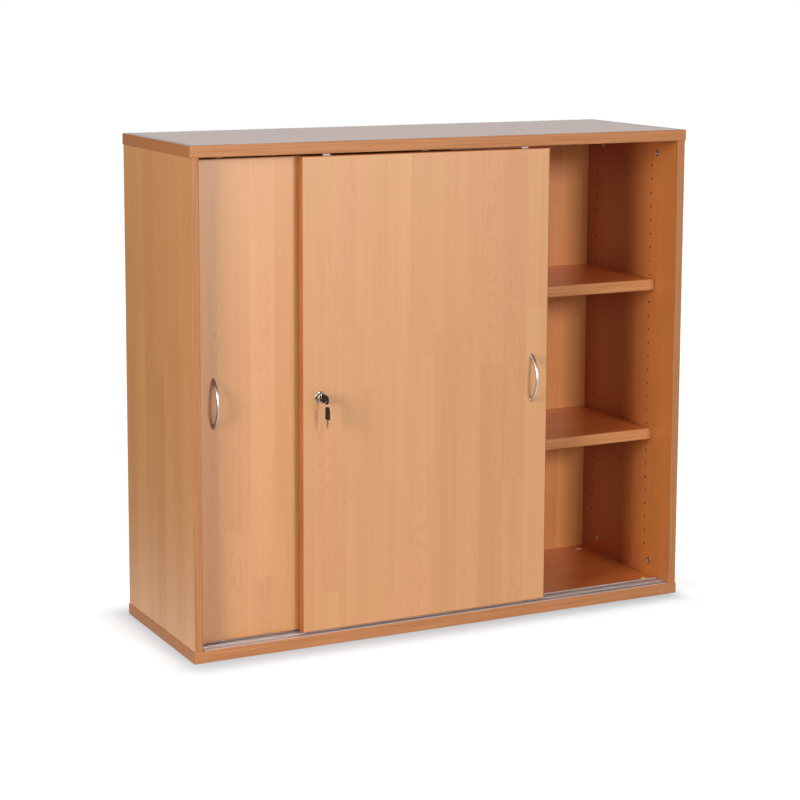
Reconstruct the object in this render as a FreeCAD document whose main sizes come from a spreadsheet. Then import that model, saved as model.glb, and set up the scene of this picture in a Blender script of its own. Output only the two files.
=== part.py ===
import FreeCAD, Part

# A cabinet with two doors that slide past each other on a double track, built from
# laminated boards with edging, cam fittings and dowels, shelves on supports, levelling
# feet, bow handles and a push-in cylinder lock with its key and a spare key on a ring.
#
# The frame: X runs across the cabinet to the right, Y from the front to the back, Z up.
# Z is 0 on the floor. X and Y are 0 at the middle of the whole object, the keys included.
# All lengths are millimetres.

import math
import os
import re

import Sketcher
from FreeCAD import Placement, Rotation, Vector

doc = FreeCAD.newDocument("SlidingDoorCabinet")

# ----------------------------------------------------------------------------------------
# Driving dimensions
# ----------------------------------------------------------------------------------------

SIZES = [
    # The whole cabinet, without the feet
    ("cabinet_width", 1200, "over the top panel"),
    ("cabinet_depth", 400, "front edge to back edge of the top panel"),
    ("cabinet_height", 1080, "underside of the bottom panel to the upper face of the top"),
    ("foot_showing", 2, "height of the feet that shows under the bottom panel"),
    # Boards
    ("board", 25, "thickness of the top, the bottom and the shelves"),
    ("wall", 18, "thickness of the sides, the partition and the back"),
    ("door_board", 18, "thickness of a door"),
    ("end_overhang", 2, "top and bottom panel beyond each side"),
    ("edging", 2, "thickness of the edging strips"),
    ("edge_round", 1.5, "radius along the outer edges of the edging"),
    # Shelves
    ("shelf_setback", 83, "shelf's front edge behind the cabinet's front"),
    ("shelf_clearance", 1, "gap between a shelf and the panels around it"),
    ("lower_shelf_hole", 8, "shelf-pin hole, counted from 0, that carries a lower shelf"),
    ("upper_shelf_hole", 19, "shelf-pin hole, counted from 0, that carries an upper shelf"),
    ("pin_pitch", 32, "height from one shelf-pin hole to the next"),
    ("pin_rise", 71, "lowest shelf-pin hole above the inside floor"),
    ("pin_top_margin", 60, "least height kept free above a row of holes"),
    ("pin_radius", 2.5, "radius of a shelf-pin hole"),
    ("pin_depth", 10, "depth of a shelf-pin hole in a side panel"),
    ("pin_front_inset", 106, "front row of holes behind the cabinet's front"),
    ("pin_back_inset", 59.5, "back row of holes in front of the cabinet's back"),
    ("stud_length", 7, "shelf support's stud in its hole"),
    ("support_reach", 6.5, "shelf support's pad beyond the panel's face"),
    ("support_radius", 4.5, "radius of the half-round pad"),
    ("pin_fit", 0.05, "radial clearance of a stud, dowel or screw in its hole"),
    # Cam fittings and dowels
    ("cam_inset", 86, "cam fitting from the cabinet's front or back"),
    ("cam_rise", 34, "cam's centre from the end of the side panel"),
    ("cam_radius", 7.5, "radius of a cam"),
    ("cam_depth", 12.5, "depth of a cam"),
    ("cam_cross", 8, "length of the cross recess in a cam's face"),
    ("cam_cross_width", 1.6, "width of the cross recess"),
    ("cam_cross_depth", 2.5, "depth of the cross recess"),
    ("bolt_thread_radius", 3, "cam bolt's thread"),
    ("bolt_thread_depth", 11, "cam bolt's thread in the horizontal panel"),
    ("bolt_shank_radius", 3.5, "cam bolt's shank in the side panel"),
    ("bolt_neck_radius", 2, "cam bolt's neck inside the cam"),
    ("bolt_neck_length", 4, "length of that neck"),
    ("bolt_head_radius", 3.2, "cam bolt's head inside the cam"),
    ("bolt_head_length", 3, "length of that head"),
    ("dowel_radius", 4, "radius of a wood dowel"),
    ("dowel_short_end", 12, "dowel's length in a horizontal panel"),
    ("dowel_long_end", 23, "dowel's length in an upright panel"),
    ("dowel_spacing", 32, "dowel from the cam fitting, towards the middle"),
    ("back_dowel_margin", 160, "outer dowels of the back from the ends of the sides"),
    ("back_dowel_depth", 10, "dowel of the back panel in the side panel"),
    ("bore_room", 1, "depth of a blind bore beyond what it holds"),
    # Levelling feet
    ("foot_inset_x", 50, "foot's axis from the end of the bottom panel"),
    ("foot_inset_front", 58, "front feet's axis from the cabinet's front"),
    ("foot_inset_back", 49, "back feet's axis from the cabinet's back"),
    ("foot_pad_radius", 15, "foot's pad"),
    ("foot_pad_height", 8, "height of the foot's pad"),
    ("foot_stem_radius", 5, "foot's threaded stem"),
    ("foot_stem_length", 14, "stem above the pad"),
    ("foot_room", 1, "gap around the pad in its recess"),
    ("foot_seat_gap", 0.3, "gap between the pad and the sleeve's flange"),
    ("sleeve_flange_radius", 12, "flange of the threaded sleeve"),
    ("sleeve_flange", 1.2, "thickness of that flange"),
    ("sleeve_radius", 7, "outside of the threaded sleeve"),
    ("sleeve_length", 11, "length of the sleeve above its flange"),
    ("thread_fit", 0.08, "radial clearance of the stem in the sleeve"),
    ("cap_radius", 7, "rim of the cap over a foot's access bore"),
    ("cap_rim", 1.2, "thickness of that rim"),
    ("cap_plug_radius", 5.5, "plug of the cap, and the access bore"),
    ("cap_plug_length", 3, "length of the plug"),
    ("cap_hole_radius", 2.2, "key hole through the cap"),
    # Doors
    ("door_overlap", 36, "overlap of the two doors when both are shut"),
    ("door_setback", 10, "front door's face behind the cabinet's front"),
    ("door_pitch", 28, "rear door's face behind the front door's face"),
    ("door_gap_top", 5.5, "gap above a door"),
    ("door_gap_bottom", 4.8, "gap below a door"),
    ("door_end_gap", 1, "gap between a shut door and the side panel"),
    ("front_door_parked", 231, "front door's left edge from the rear door's left edge"),
    # Tracks
    ("track_front_gap", 3, "bottom track behind the cabinet's front"),
    ("track_end_gap", 4, "bottom track from the side panels"),
    ("track_band", 20, "width of one raised band of the bottom track"),
    ("track_band_height", 1.6, "height of a band"),
    ("track_web_height", 0.8, "height between the two bands"),
    ("rail_height", 3.2, "height of a rail above the inside floor"),
    ("rail_width", 2, "width of a rail"),
    ("top_track_height", 12, "depth of the top track in the top panel"),
    ("top_track_wall", 2, "wall of the top track"),
    ("track_fit", 0.1, "clearance of the top track in its groove"),
    ("guide_room", 1.3, "clearance of a guide in its channel, each side"),
    # Guides on top of the doors
    ("hardware_inset", 60, "guide's or roller's centre from the door's edge"),
    ("guide_length", 16, "length of a guide along the door"),
    ("guide_thickness", 7.4, "thickness of a guide"),
    ("guide_seat", 14, "guide's length in the door"),
    ("guide_nose", 7.5, "guide's length in the channel"),
    ("guide_round", 1.2, "radius on the guide's upright edges"),
    ("seat_fit", 0.1, "clearance of guides and roller housings in the doors"),
    # Rollers under the doors
    ("roller_radius", 9.5, "outside of a roller"),
    ("roller_groove_radius", 8, "bottom of the roller's groove"),
    ("roller_width", 6, "width of a roller"),
    ("roller_groove_width", 3, "width of the groove"),
    ("roller_running_gap", 0.3, "groove's bottom above the rail"),
    ("axle_radius", 2, "roller's axle"),
    ("axle_fit", 0.06, "radial clearance of the roller on its axle"),
    ("housing_length", 44, "roller housing along the door"),
    ("housing_width", 12, "roller housing across the door"),
    ("housing_height", 24, "roller housing up into the door"),
    ("roller_room", 0.5, "gap around a roller in its housing"),
    # Handles
    ("handle_inset", 41, "handle from the edge of its door"),
    ("handle_centres", 96, "distance between the handle's screws"),
    ("handle_span", 104, "arc's ends, from middle to middle, at the door's face"),
    ("handle_rise", 27.8, "arc's middle in front of the door"),
    ("handle_radius", 3.5, "radius of the handle's rod"),
    ("handle_foot_radius", 4.5, "radius of the handle's feet"),
    ("handle_foot_height", 4, "height of those feet"),
    ("handle_screw_radius", 2, "handle screw"),
    ("handle_screw_hold", 6, "screw's length in the handle"),
    ("screw_head_radius", 4, "head of a handle screw"),
    ("screw_head_height", 2.5, "height of that head"),
    # Small countersunk screws for the track and the lock's plate
    ("small_screw_radius", 1.5, "shank of a small screw"),
    ("small_screw_length", 11, "length of that shank"),
    ("small_head_radius", 3, "head of a small screw"),
    ("small_head_height", 0.8, "height of that head"),
    ("track_screw_inset", 36, "outer screws from the ends of the bottom track"),
    # Lock
    ("lock_inset", 41, "lock's axis from the front door's left edge"),
    ("lock_radius", 11, "lock's housing in the door"),
    ("rose_radius", 12.5, "rim of the housing on the door's face"),
    ("rose_height", 2, "height of that rim"),
    ("rose_chamfer", 0.8, "chamfer on that rim"),
    ("barrel_radius", 9.5, "barrel that is pushed in"),
    ("barrel_reach", 13, "barrel in front of the door's face"),
    ("barrel_inside", 7, "barrel behind the door's face"),
    ("barrel_chamfer", 0.6, "chamfer on the barrel's face"),
    ("barrel_end_wall", 1.8, "wall between the barrel's core and the bolt"),
    ("push_fit", 0.06, "radial clearance of the barrel, the bolt and the core"),
    ("lock_end_wall", 1.2, "housing's wall at the back of the door"),
    ("bolt_radius", 4, "lock's bolt"),
    ("bolt_spigot_radius", 1.5, "spigot that holds the bolt in the barrel"),
    ("bolt_rest_gap", 0.1, "bolt's tip in front of the door's back face at rest"),
    ("core_radius", 4.5, "turning core"),
    ("core_proud", 0.4, "core in front of the barrel's face"),
    ("spring_recess_wall", 0.9, "barrel's wall inside and outside the spring"),
    ("spring_wire_radius", 0.5, "wire of the return spring"),
    ("spring_turns", 6, "turns of the return spring"),
    ("spring_room", 0.1, "gap at the spring's ends"),
    ("plate_width", 42, "plate on the door's back, along the door"),
    ("plate_height", 22, "plate on the door's back, upwards"),
    ("plate_thickness", 1.2, "thickness of that plate"),
    ("plate_screw_inset", 5, "plate's screws from its ends"),
    # Keys
    ("key_gap", 1, "key head's shoulder in front of the barrel"),
    ("key_droop", 3, "angle by which the key hangs down in its slot, in degrees"),
    ("blade_length", 18, "blade beyond the key's head"),
    ("blade_width", 6, "width of the blade"),
    ("blade_thickness", 2, "thickness of the blade"),
    ("blade_tang", 8, "blade inside the key's head"),
    ("notch_depth", 1.1, "depth of the notches in the blade"),
    ("keyway_width_room", 0.2, "gap beside the blade in its slot"),
    ("keyway_height_room", 1.1, "gap above and below the blade in its slot"),
    ("head_length", 27, "length of the key's head"),
    ("head_width", 19, "width of the key's head at its shoulder"),
    ("head_tip_width", 12, "width of the key's head at its tip"),
    ("head_straight", 19, "straight part of the head's sides"),
    ("head_thickness", 2.8, "thickness of the key's head"),
    ("head_tip_round", 5, "radius of the tip's corners"),
    ("head_shoulder_round", 2.5, "radius of the shoulder's corners"),
    ("key_hole_radius", 2, "ring's hole in the key's head"),
    ("key_hole_inset", 3.5, "ring's hole from the head's tip"),
    ("ring_radius", 7.5, "key ring, to the middle of its wire"),
    ("ring_wire_radius", 0.7, "wire of the key ring"),
    ("ring_gap", 0.25, "gap between the ring and the edge of a key's hole"),
]

# Lengths and places that follow from the driving dimensions
PLACES = [
    # Heights
    ("base", "foot_showing"),
    ("inside_floor", "base + board"),
    ("inside_roof", "base + cabinet_height - board"),
    ("side_height", "inside_roof - inside_floor"),
    # Across
    ("side_out", "cabinet_width / 2 - end_overhang"),
    ("side_in", "side_out - wall"),
    ("side_mid", "side_out - wall / 2"),
    ("shelf_length", "side_in - wall / 2 - 2 * shelf_clearance"),
    # From front to back
    ("key_hole_reach", "barrel_reach + (key_gap + head_length - key_hole_inset) * cos(key_droop)"),
    ("front_reach", "key_hole_reach + head_width / 2 - door_setback"),
    ("front_y", "(front_reach - cabinet_depth) / 2"),
    ("rear_y", "front_y + cabinet_depth"),
    ("back_face_y", "rear_y - wall"),
    ("back_mid_y", "rear_y - wall / 2"),
    ("shelf_y", "front_y + shelf_setback"),
    ("shelf_depth", "back_face_y - shelf_clearance - shelf_y"),
    ("pin_front_y", "front_y + pin_front_inset"),
    ("pin_back_y", "rear_y - pin_back_inset"),
    ("first_pin_z", "inside_floor + pin_rise"),
    ("pin_count", "floor((side_height - pin_rise - pin_top_margin) / pin_pitch) + 1"),
    ("lower_shelf_z", "first_pin_z + pin_pitch * lower_shelf_hole"),
    ("upper_shelf_z", "first_pin_z + pin_pitch * upper_shelf_hole"),
    ("cam_front_y", "front_y + cam_inset"),
    ("cam_back_y", "rear_y - cam_inset"),
    ("dowel_front_y", "cam_front_y + dowel_spacing"),
    ("dowel_back_y", "cam_back_y - dowel_spacing"),
    ("dowel_length", "dowel_short_end + dowel_long_end"),
    ("dowel_bore", "dowel_radius + pin_fit"),
    ("back_dowel_low", "inside_floor + back_dowel_margin"),
    ("back_dowel_mid", "(inside_floor + inside_roof) / 2"),
    ("back_dowel_high", "inside_roof - back_dowel_margin"),
    # Feet
    ("foot_x", "cabinet_width / 2 - foot_inset_x"),
    ("foot_front_y", "front_y + foot_inset_front"),
    ("foot_back_y", "rear_y - foot_inset_back"),
    ("sleeve_z", "foot_pad_height + foot_seat_gap"),
    ("foot_recess", "sleeve_z + sleeve_flange - base"),
    # Doors
    ("door_width", "(2 * side_in - 2 * door_end_gap + door_overlap) / 2"),
    ("door_height", "side_height - door_gap_top - door_gap_bottom"),
    ("door_z", "inside_floor + door_gap_bottom"),
    ("door_mid_z", "door_z + door_height / 2"),
    ("rear_door_x", "door_end_gap - side_in"),
    ("front_door_x", "rear_door_x + front_door_parked"),
    ("front_face_y", "front_y + door_setback"),
    ("rear_face_y", "front_face_y + door_pitch"),
    ("front_handle_x", "front_door_x + door_width - handle_inset"),
    ("rear_handle_x", "rear_door_x + handle_inset"),
    ("handle_arc_radius", "(handle_span ^ 2 / 4 + handle_rise ^ 2) / (2 * handle_rise)"),
    # Tracks, guides and rollers
    ("rail_front_y", "front_face_y + door_board / 2"),
    ("rail_back_y", "rear_face_y + door_board / 2"),
    ("track_y", "front_y + track_front_gap"),
    ("track_depth", "door_pitch + track_band"),
    ("track_screw_pitch", "(side_in - track_end_gap - track_screw_inset) / 2"),
    ("channel_width", "guide_thickness + 2 * guide_room"),
    ("top_track_y", "rail_front_y - channel_width / 2 - top_track_wall"),
    ("top_track_depth", "door_pitch + channel_width + 2 * top_track_wall"),
    ("guide_height", "guide_seat + door_gap_top + guide_nose"),
    ("roller_rise", "rail_height + roller_running_gap + roller_groove_radius - door_gap_bottom"),
    # Lock and keys
    ("lock_x", "front_door_x + lock_inset"),
    ("barrel_bore", "barrel_radius + push_fit"),
    ("spring_outer", "barrel_radius - spring_recess_wall"),
    ("spring_inner", "core_radius + push_fit + spring_recess_wall"),
    ("spring_radius", "(spring_outer + spring_inner) / 2"),
    ("core_floor", "barrel_end_wall - barrel_inside"),
    ("spring_length", "door_board - lock_end_wall - 2 * spring_room - 2 * spring_wire_radius"),
    ("key_hole_y", "front_face_y - key_hole_reach"),
    ("key_hole_z", "door_mid_z - (key_gap + head_length - key_hole_inset) * sin(key_droop)"),
    ("ring_seat", "key_hole_radius - ring_wire_radius - ring_gap"),
    ("ring_top_z", "key_hole_z - ring_seat"),
    ("spare_hole_z", "ring_top_z - 2 * ring_radius - ring_seat"),
]

sizes = doc.addObject("Spreadsheet::Sheet", "Sizes")
places = doc.addObject("Spreadsheet::Sheet", "Places")
SHEET_OF = {name: "Sizes" for name, _, _ in SIZES} | {name: "Places" for name, _ in PLACES}


def bound(formula):
    """The formula with each name led by the sheet that holds it."""
    return re.sub(r"[a-z]\w*", lambda m: f"{SHEET_OF[m[0]]}.{m[0]}" if m[0] in SHEET_OF else m[0], str(formula))


for row, (name, number, meaning) in enumerate(SIZES, 1):
    sizes.set(f"A{row}", name)
    sizes.set(f"B{row}", str(number))
    sizes.set(f"C{row}", meaning)
    sizes.setAlias(f"B{row}", name)
doc.recompute()

for row, (name, formula) in enumerate(PLACES, 1):
    places.set(f"A{row}", name)
    places.set(f"B{row}", "=" + bound(formula).replace("Places.", ""))
    places.setAlias(f"B{row}", name)
    doc.recompute()


def number_of(name):
    """A named size or place as a number."""
    return float(doc.getObject(SHEET_OF[name]).get(name))


# ----------------------------------------------------------------------------------------
# Helpers for placing and for primitives
# ----------------------------------------------------------------------------------------

X, Y, Z = Vector(1, 0, 0), Vector(0, 1, 0), Vector(0, 0, 1)
UPRIGHT = Rotation()
TO_RIGHT = Rotation(Y, 90)
TO_LEFT = Rotation(Y, -90)
TO_BACK = Rotation(X, -90)
TO_FRONT = Rotation(X, 90)
HALF_TURN = Rotation(Z, 180)


def axes_turn(y_axis, z_axis):
    """The turn that takes a piece's own Y and Z axes to these directions."""
    return Rotation(y_axis.cross(z_axis), y_axis, z_axis, "ZYX")


def bind(piece, **formulas):
    for key, formula in formulas.items():
        piece.setExpression(key, bound(formula))


def place(piece, x, y, z, turn=UPRIGHT):
    piece.Placement = Placement(Vector(), turn)
    for axis, formula in zip("xyz", (x, y, z)):
        piece.setExpression(f".Placement.Base.{axis}", bound(formula))
    return piece


def block(name, at, size):
    """A box from its lowest corner and its lengths."""
    piece = doc.addObject("Part::Box", name)
    bind(piece, Length=size[0], Width=size[1], Height=size[2])
    return place(piece, *at)


def rod(name, radius, length, at=("0", "0", "0"), turn=UPRIGHT):
    """A cylinder from the middle of its first end, along its own Z."""
    piece = doc.addObject("Part::Cylinder", name)
    bind(piece, Radius=radius, Height=length)
    return place(piece, *at, turn)


def fused(name, *pieces):
    piece = doc.addObject("Part::MultiFuse", name)
    piece.Shapes = list(pieces)
    return piece


def cut(name, base, *tools):
    piece = doc.addObject("Part::Cut", name)
    piece.Base = base
    piece.Tool = tools[0] if len(tools) == 1 else fused(name + "_tools", *tools)
    return piece


def common(name, base, tool):
    piece = doc.addObject("Part::Common", name)
    piece.Base = base
    piece.Tool = tool
    return piece


def group(name, pattern, spots):
    """Copies of one piece, each at (x, y, z, turn), as separate solids."""
    copies = []
    for x, y, z, turn in spots:
        copy = doc.addObject("App::Link", name + "_copy")
        copy.LinkedObject = pattern
        copies.append(place(copy, x, y, z, turn))
    piece = doc.addObject("Part::Compound", name)
    piece.Links = copies
    return piece


# ----------------------------------------------------------------------------------------
# Helpers for bodies made from sketches
# ----------------------------------------------------------------------------------------


def body(name):
    return doc.addObject("PartDesign::Body", name)


def sketch_on(owner, role, offset="0"):
    """A sketch on one of the body's own planes, moved along the plane's normal."""
    plane = next(f for f in owner.Origin.OriginFeatures if f.Role == role + "_Plane")
    sketch = owner.newObject("Sketcher::SketchObject", owner.Name + "_sketch")
    sketch.AttachmentSupport = [(plane, "")]
    sketch.MapMode = "FlatFace"
    sketch.setExpression(".AttachmentOffset.Base.z", bound(offset))
    return sketch


def pin_point(sketch, geometry, point, x, y):
    """Hold one point of a sketch at two formulas."""
    for kind, formula in (("DistanceX", x), ("DistanceY", y)):
        index = sketch.addConstraint(Sketcher.Constraint(kind, -1, 1, geometry, point, 1.0))
        sketch.setExpression(f"Constraints[{index}]", bound(formula))


def value_of(formula):
    """A formula worked out, used only to start a sketch near its final shape."""
    names = re.sub(r"[a-z]\w*", lambda m: str(number_of(m[0])) if m[0] in SHEET_OF else m[0], str(formula))
    return float(doc.Sizes.evalExpression(names))


def outline(sketch, points):
    """A closed outline through these corners."""
    corners = [Vector(value_of(x), value_of(y), 0) for x, y in points]
    first = sketch.GeometryCount
    for start, end in zip(corners, corners[1:] + corners[:1]):
        sketch.addGeometry(Part.LineSegment(start, end), False)
    last = len(points) - 1
    for step, (x, y) in enumerate(points):
        following = first + (step + 1 if step < last else 0)
        sketch.addConstraint(Sketcher.Constraint("Coincident", first + step, 2, following, 1))
        pin_point(sketch, first + step, 1, x, y)


def rectangle(sketch, x, y, width, height):
    right, top = f"{x} + {width}", f"{y} + {height}"
    outline(sketch, [(x, y), (right, y), (right, top), (x, top)])


def circle(sketch, x, y, radius):
    centre = Vector(value_of(x), value_of(y), 0)
    index = sketch.addGeometry(Part.Circle(centre, Z, value_of(radius)), False)
    pin_point(sketch, index, 3, x, y)
    size = sketch.addConstraint(Sketcher.Constraint("Radius", index, value_of(radius)))
    sketch.setExpression(f"Constraints[{size}]", bound(radius))


def pad(owner, sketch, length):
    feature = owner.newObject("PartDesign::Pad", owner.Name + "_pad")
    feature.Profile = sketch
    bind(feature, Length=length)
    return feature


def pocket(owner, sketch, depth, forward=False):
    """A pocket behind the sketch, or in front of it where forward is set."""
    feature = owner.newObject("PartDesign::Pocket", owner.Name + "_pocket")
    feature.Profile = sketch
    feature.Reversed = forward
    bind(feature, Length=depth)
    return feature


def bores(owner, role, offset, spots, radius, depth, forward=False):
    """Round blind holes at these (x, y) points of a plane."""
    sketch = sketch_on(owner, role, offset)
    for x, y in spots:
        circle(sketch, x, y, radius)
    return pocket(owner, sketch, depth, forward)


def slots(owner, role, offset, rectangles, depth, forward=False):
    """Rectangular pockets from (x, y, width, height) on a plane."""
    sketch = sketch_on(owner, role, offset)
    for one in rectangles:
        rectangle(sketch, *one)
    return pocket(owner, sketch, depth, forward)


def revolved(name, points):
    """A body turned about its own Z from (radius, height) corners."""
    owner = body(name)
    sketch = sketch_on(owner, "XZ")
    outline(sketch, points)
    feature = owner.newObject("PartDesign::Revolution", name + "_turn")
    feature.Profile = sketch
    feature.ReferenceAxis = (sketch, ["V_Axis"])
    feature.Angle = 360
    return owner


def round_edges(owner, feature, radius, wanted):
    """A fillet on the edges that wanted picks by their bounding boxes."""
    doc.recompute()
    chosen = [f"Edge{n}" for n, edge in enumerate(feature.Shape.Edges, 1) if wanted(edge.BoundBox)]
    fillet = owner.newObject("PartDesign::Fillet", owner.Name + "_round")
    fillet.Base = (feature, chosen)
    bind(fillet, Radius=radius)
    return fillet


def near(a, b):
    return abs(a - b) < 0.001


# ----------------------------------------------------------------------------------------
# Top and bottom panels
# ----------------------------------------------------------------------------------------

CORE_X = "edging - cabinet_width / 2"
CORE_Y = "front_y + edging"
CORE_WIDTH = "cabinet_width - 2 * edging"
CORE_DEPTH = "cabinet_depth - 2 * edging"

CAM_ROWS = ("cam_front_y", "cam_back_y")
DOWEL_ROWS = ("dowel_front_y", "dowel_back_y")
SIDES = ("-side_mid", "side_mid")
CAM_SPOTS = [(x, y) for x in SIDES for y in CAM_ROWS]
DOWEL_SPOTS = [(x, y) for x in SIDES + ("0",) for y in DOWEL_ROWS]
FOOT_SPOTS = [(x, y) for x in ("-foot_x", "foot_x") for y in ("foot_front_y", "foot_back_y")]
TRACK_SCREWS = [f"{n} * track_screw_pitch" for n in (-2, -1, 0, 1, 2)]
TRACK_SCREW_Y = "track_y + track_band + (door_pitch - track_band) / 2"


def top_panel():
    owner = body("top_panel")
    sketch = sketch_on(owner, "XY", "inside_roof")
    rectangle(sketch, CORE_X, CORE_Y, CORE_WIDTH, CORE_DEPTH)
    pad(owner, sketch, "board")
    groove_y = "top_track_y - track_fit"
    groove_depth = "top_track_depth + 2 * track_fit"
    groove = [("-side_in", groove_y, "2 * side_in", groove_depth)]
    slots(owner, "XY", "inside_roof", groove, "top_track_height", True)
    bores(owner, "XY", "inside_roof", CAM_SPOTS, "bolt_thread_radius + pin_fit", "bolt_thread_depth + bore_room", True)
    bores(owner, "XY", "inside_roof", DOWEL_SPOTS, "dowel_bore", "dowel_short_end + bore_room", True)
    return owner


def bottom_panel():
    owner = body("bottom_panel")
    sketch = sketch_on(owner, "XY", "base")
    rectangle(sketch, CORE_X, CORE_Y, CORE_WIDTH, CORE_DEPTH)
    pad(owner, sketch, "board")
    bores(owner, "XY", "inside_floor", CAM_SPOTS, "bolt_thread_radius + pin_fit", "bolt_thread_depth + bore_room")
    bores(owner, "XY", "inside_floor", DOWEL_SPOTS, "dowel_bore", "dowel_short_end + bore_room")
    screws = [(x, TRACK_SCREW_Y) for x in TRACK_SCREWS]
    bores(owner, "XY", "inside_floor", screws, "small_screw_radius + pin_fit", "small_screw_length")
    bores(owner, "XY", "base", FOOT_SPOTS, "foot_pad_radius + foot_room", "foot_recess", True)
    bores(owner, "XY", "base", FOOT_SPOTS, "sleeve_radius + pin_fit", "foot_recess + sleeve_length", True)
    bores(owner, "XY", "base", FOOT_SPOTS, "cap_plug_radius + pin_fit", "board", True)
    return owner


def panel_edging(name, z):
    """One strip wrapped round all four edges of a horizontal panel."""
    owner = body(name)
    sketch = sketch_on(owner, "XY", z)
    rectangle(sketch, "-cabinet_width / 2", "front_y", "cabinet_width", "cabinet_depth")
    rectangle(sketch, CORE_X, CORE_Y, CORE_WIDTH, CORE_DEPTH)
    strip = pad(owner, sketch, "board")
    half = number_of("cabinet_width") / 2
    front, rear = number_of("front_y"), number_of("rear_y")

    def outer_run(box):
        along_x = near(box.YLength, 0) and (near(box.YMin, front) or near(box.YMin, rear))
        along_y = near(box.XLength, 0) and near(abs(box.XMin), half)
        return near(box.ZLength, 0) and (along_x or along_y)

    round_edges(owner, strip, "edge_round", outer_run)
    return owner


# ----------------------------------------------------------------------------------------
# Upright panels
# ----------------------------------------------------------------------------------------

PIN_SPOTS = [(y, "first_pin_z") for y in ("pin_front_y", "pin_back_y")]
BACK_DOWEL_HEIGHTS = ("back_dowel_low", "back_dowel_mid", "back_dowel_high")


def row_of_bores(owner, feature):
    """Repeat the first shelf-pin holes up the panel."""
    pattern = owner.newObject("PartDesign::LinearPattern", owner.Name + "_row")
    pattern.Originals = [feature]
    pattern.Direction = (feature.Profile[0], ["V_Axis"])
    bind(pattern, Length="(pin_count - 1) * pin_pitch", Occurrences="pin_count")
    owner.Tip = pattern


def end_bores(owner, spots, radius, depth):
    """Bores into the lower and upper ends of an upright panel."""
    bores(owner, "XY", "inside_floor", spots, radius, depth, True)
    bores(owner, "XY", "inside_roof", spots, radius, depth)


def side_panel(name, left):
    """A side: its inner face has the pin holes, the cams' pockets and the back's dowels."""
    outer, inner, mid = ("-side_out", "-side_in", "-side_mid") if left else ("side_out", "side_in", "side_mid")
    owner = body(name)
    sketch = sketch_on(owner, "YZ", outer if left else inner)
    rectangle(sketch, CORE_Y, "inside_floor", "cabinet_depth - edging", "side_height")
    pad(owner, sketch, "wall")
    inward = not left
    first = bores(owner, "YZ", inner, PIN_SPOTS, "pin_radius", "pin_depth", inward)
    row_of_bores(owner, first)
    cams = [(y, z) for y in CAM_ROWS for z in ("inside_floor + cam_rise", "inside_roof - cam_rise")]
    bores(owner, "YZ", inner, cams, "cam_radius + pin_fit", "cam_depth + pin_fit", inward)
    backs = [("back_mid_y", z) for z in BACK_DOWEL_HEIGHTS]
    bores(owner, "YZ", inner, backs, "dowel_bore", "back_dowel_depth + bore_room", inward)
    end_bores(owner, [(mid, y) for y in CAM_ROWS], "bolt_shank_radius + pin_fit", "cam_rise")
    end_bores(owner, [(mid, y) for y in DOWEL_ROWS], "dowel_bore", "dowel_long_end + bore_room")
    return owner


def centre_partition():
    owner = body("centre_partition")
    sketch = sketch_on(owner, "YZ", "-wall / 2")
    rectangle(sketch, "shelf_y + edging", "inside_floor", "back_face_y - shelf_y - edging", "side_height")
    pad(owner, sketch, "wall")
    first = bores(owner, "YZ", "wall / 2", PIN_SPOTS, "pin_radius", "wall")
    row_of_bores(owner, first)
    end_bores(owner, [("0", y) for y in DOWEL_ROWS], "dowel_bore", "dowel_long_end + bore_room")
    return owner


def back_panel():
    owner = body("back_panel")
    sketch = sketch_on(owner, "YZ", "-side_in")
    rectangle(sketch, "back_face_y", "inside_floor", "wall", "side_height")
    pad(owner, sketch, "2 * side_in")
    spots = [("back_mid_y", z) for z in BACK_DOWEL_HEIGHTS]
    depth = "dowel_length - back_dowel_depth + bore_room"
    bores(owner, "YZ", "-side_in", spots, "dowel_bore", depth, True)
    bores(owner, "YZ", "side_in", spots, "dowel_bore", depth)
    return owner


def straight_edging(name, role, length, width):
    """A strip whose front face is rounded along both sides; its back is at its own Y = 0."""
    owner = body(name)
    sketch = sketch_on(owner, role)
    if role == "XY":
        rectangle(sketch, "0", "-edging", width, "edging")
    else:
        rectangle(sketch, "-edging", "0", "edging", width)
    strip = pad(owner, sketch, length)
    front = -number_of("edging")
    run = "ZLength" if role == "XY" else "XLength"

    def front_run(box):
        return near(box.YMin, front) and near(box.YLength, 0) and near(getattr(box, run), value_of(length))

    round_edges(owner, strip, "edge_round", front_run)
    return owner


# ----------------------------------------------------------------------------------------
# Shelves and their supports
# ----------------------------------------------------------------------------------------

LEFT_SHELF_X = "shelf_clearance - side_in"
RIGHT_SHELF_X = "wall / 2 + shelf_clearance"
SHELVES = {
    "lower_left_shelf": (LEFT_SHELF_X, "lower_shelf_z"),
    "upper_left_shelf": (LEFT_SHELF_X, "upper_shelf_z"),
    "lower_right_shelf": (RIGHT_SHELF_X, "lower_shelf_z"),
    "upper_right_shelf": (RIGHT_SHELF_X, "upper_shelf_z"),
}


def shelf(name, x, z):
    return block(name, (x, "shelf_y + edging", z), ("shelf_length", "shelf_depth - edging", "board"))


def shelf_supports():
    """A stud in its hole, and a half-round pad whose flat top carries the shelf."""
    stud = rod("support_stud", "pin_radius - pin_fit", "stud_length", ("-stud_length", "0", "0"), TO_RIGHT)
    pad_round = rod("support_round", "support_radius", "support_reach", turn=TO_RIGHT)
    lower_half = block(
        "support_half",
        ("0", "-support_radius", "-support_radius"),
        ("support_reach", "2 * support_radius", "support_radius"),
    )
    support = fused("support", stud, common("support_pad", pad_round, lower_half))
    spots = []
    for z in ("lower_shelf_z", "upper_shelf_z"):
        for y in ("pin_front_y", "pin_back_y"):
            spots += [("-side_in", y, z, UPRIGHT), ("wall / 2", y, z, UPRIGHT)]
            spots += [("-wall / 2", y, z, HALF_TURN), ("side_in", y, z, HALF_TURN)]
    return group("shelf_supports", support, spots)


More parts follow.
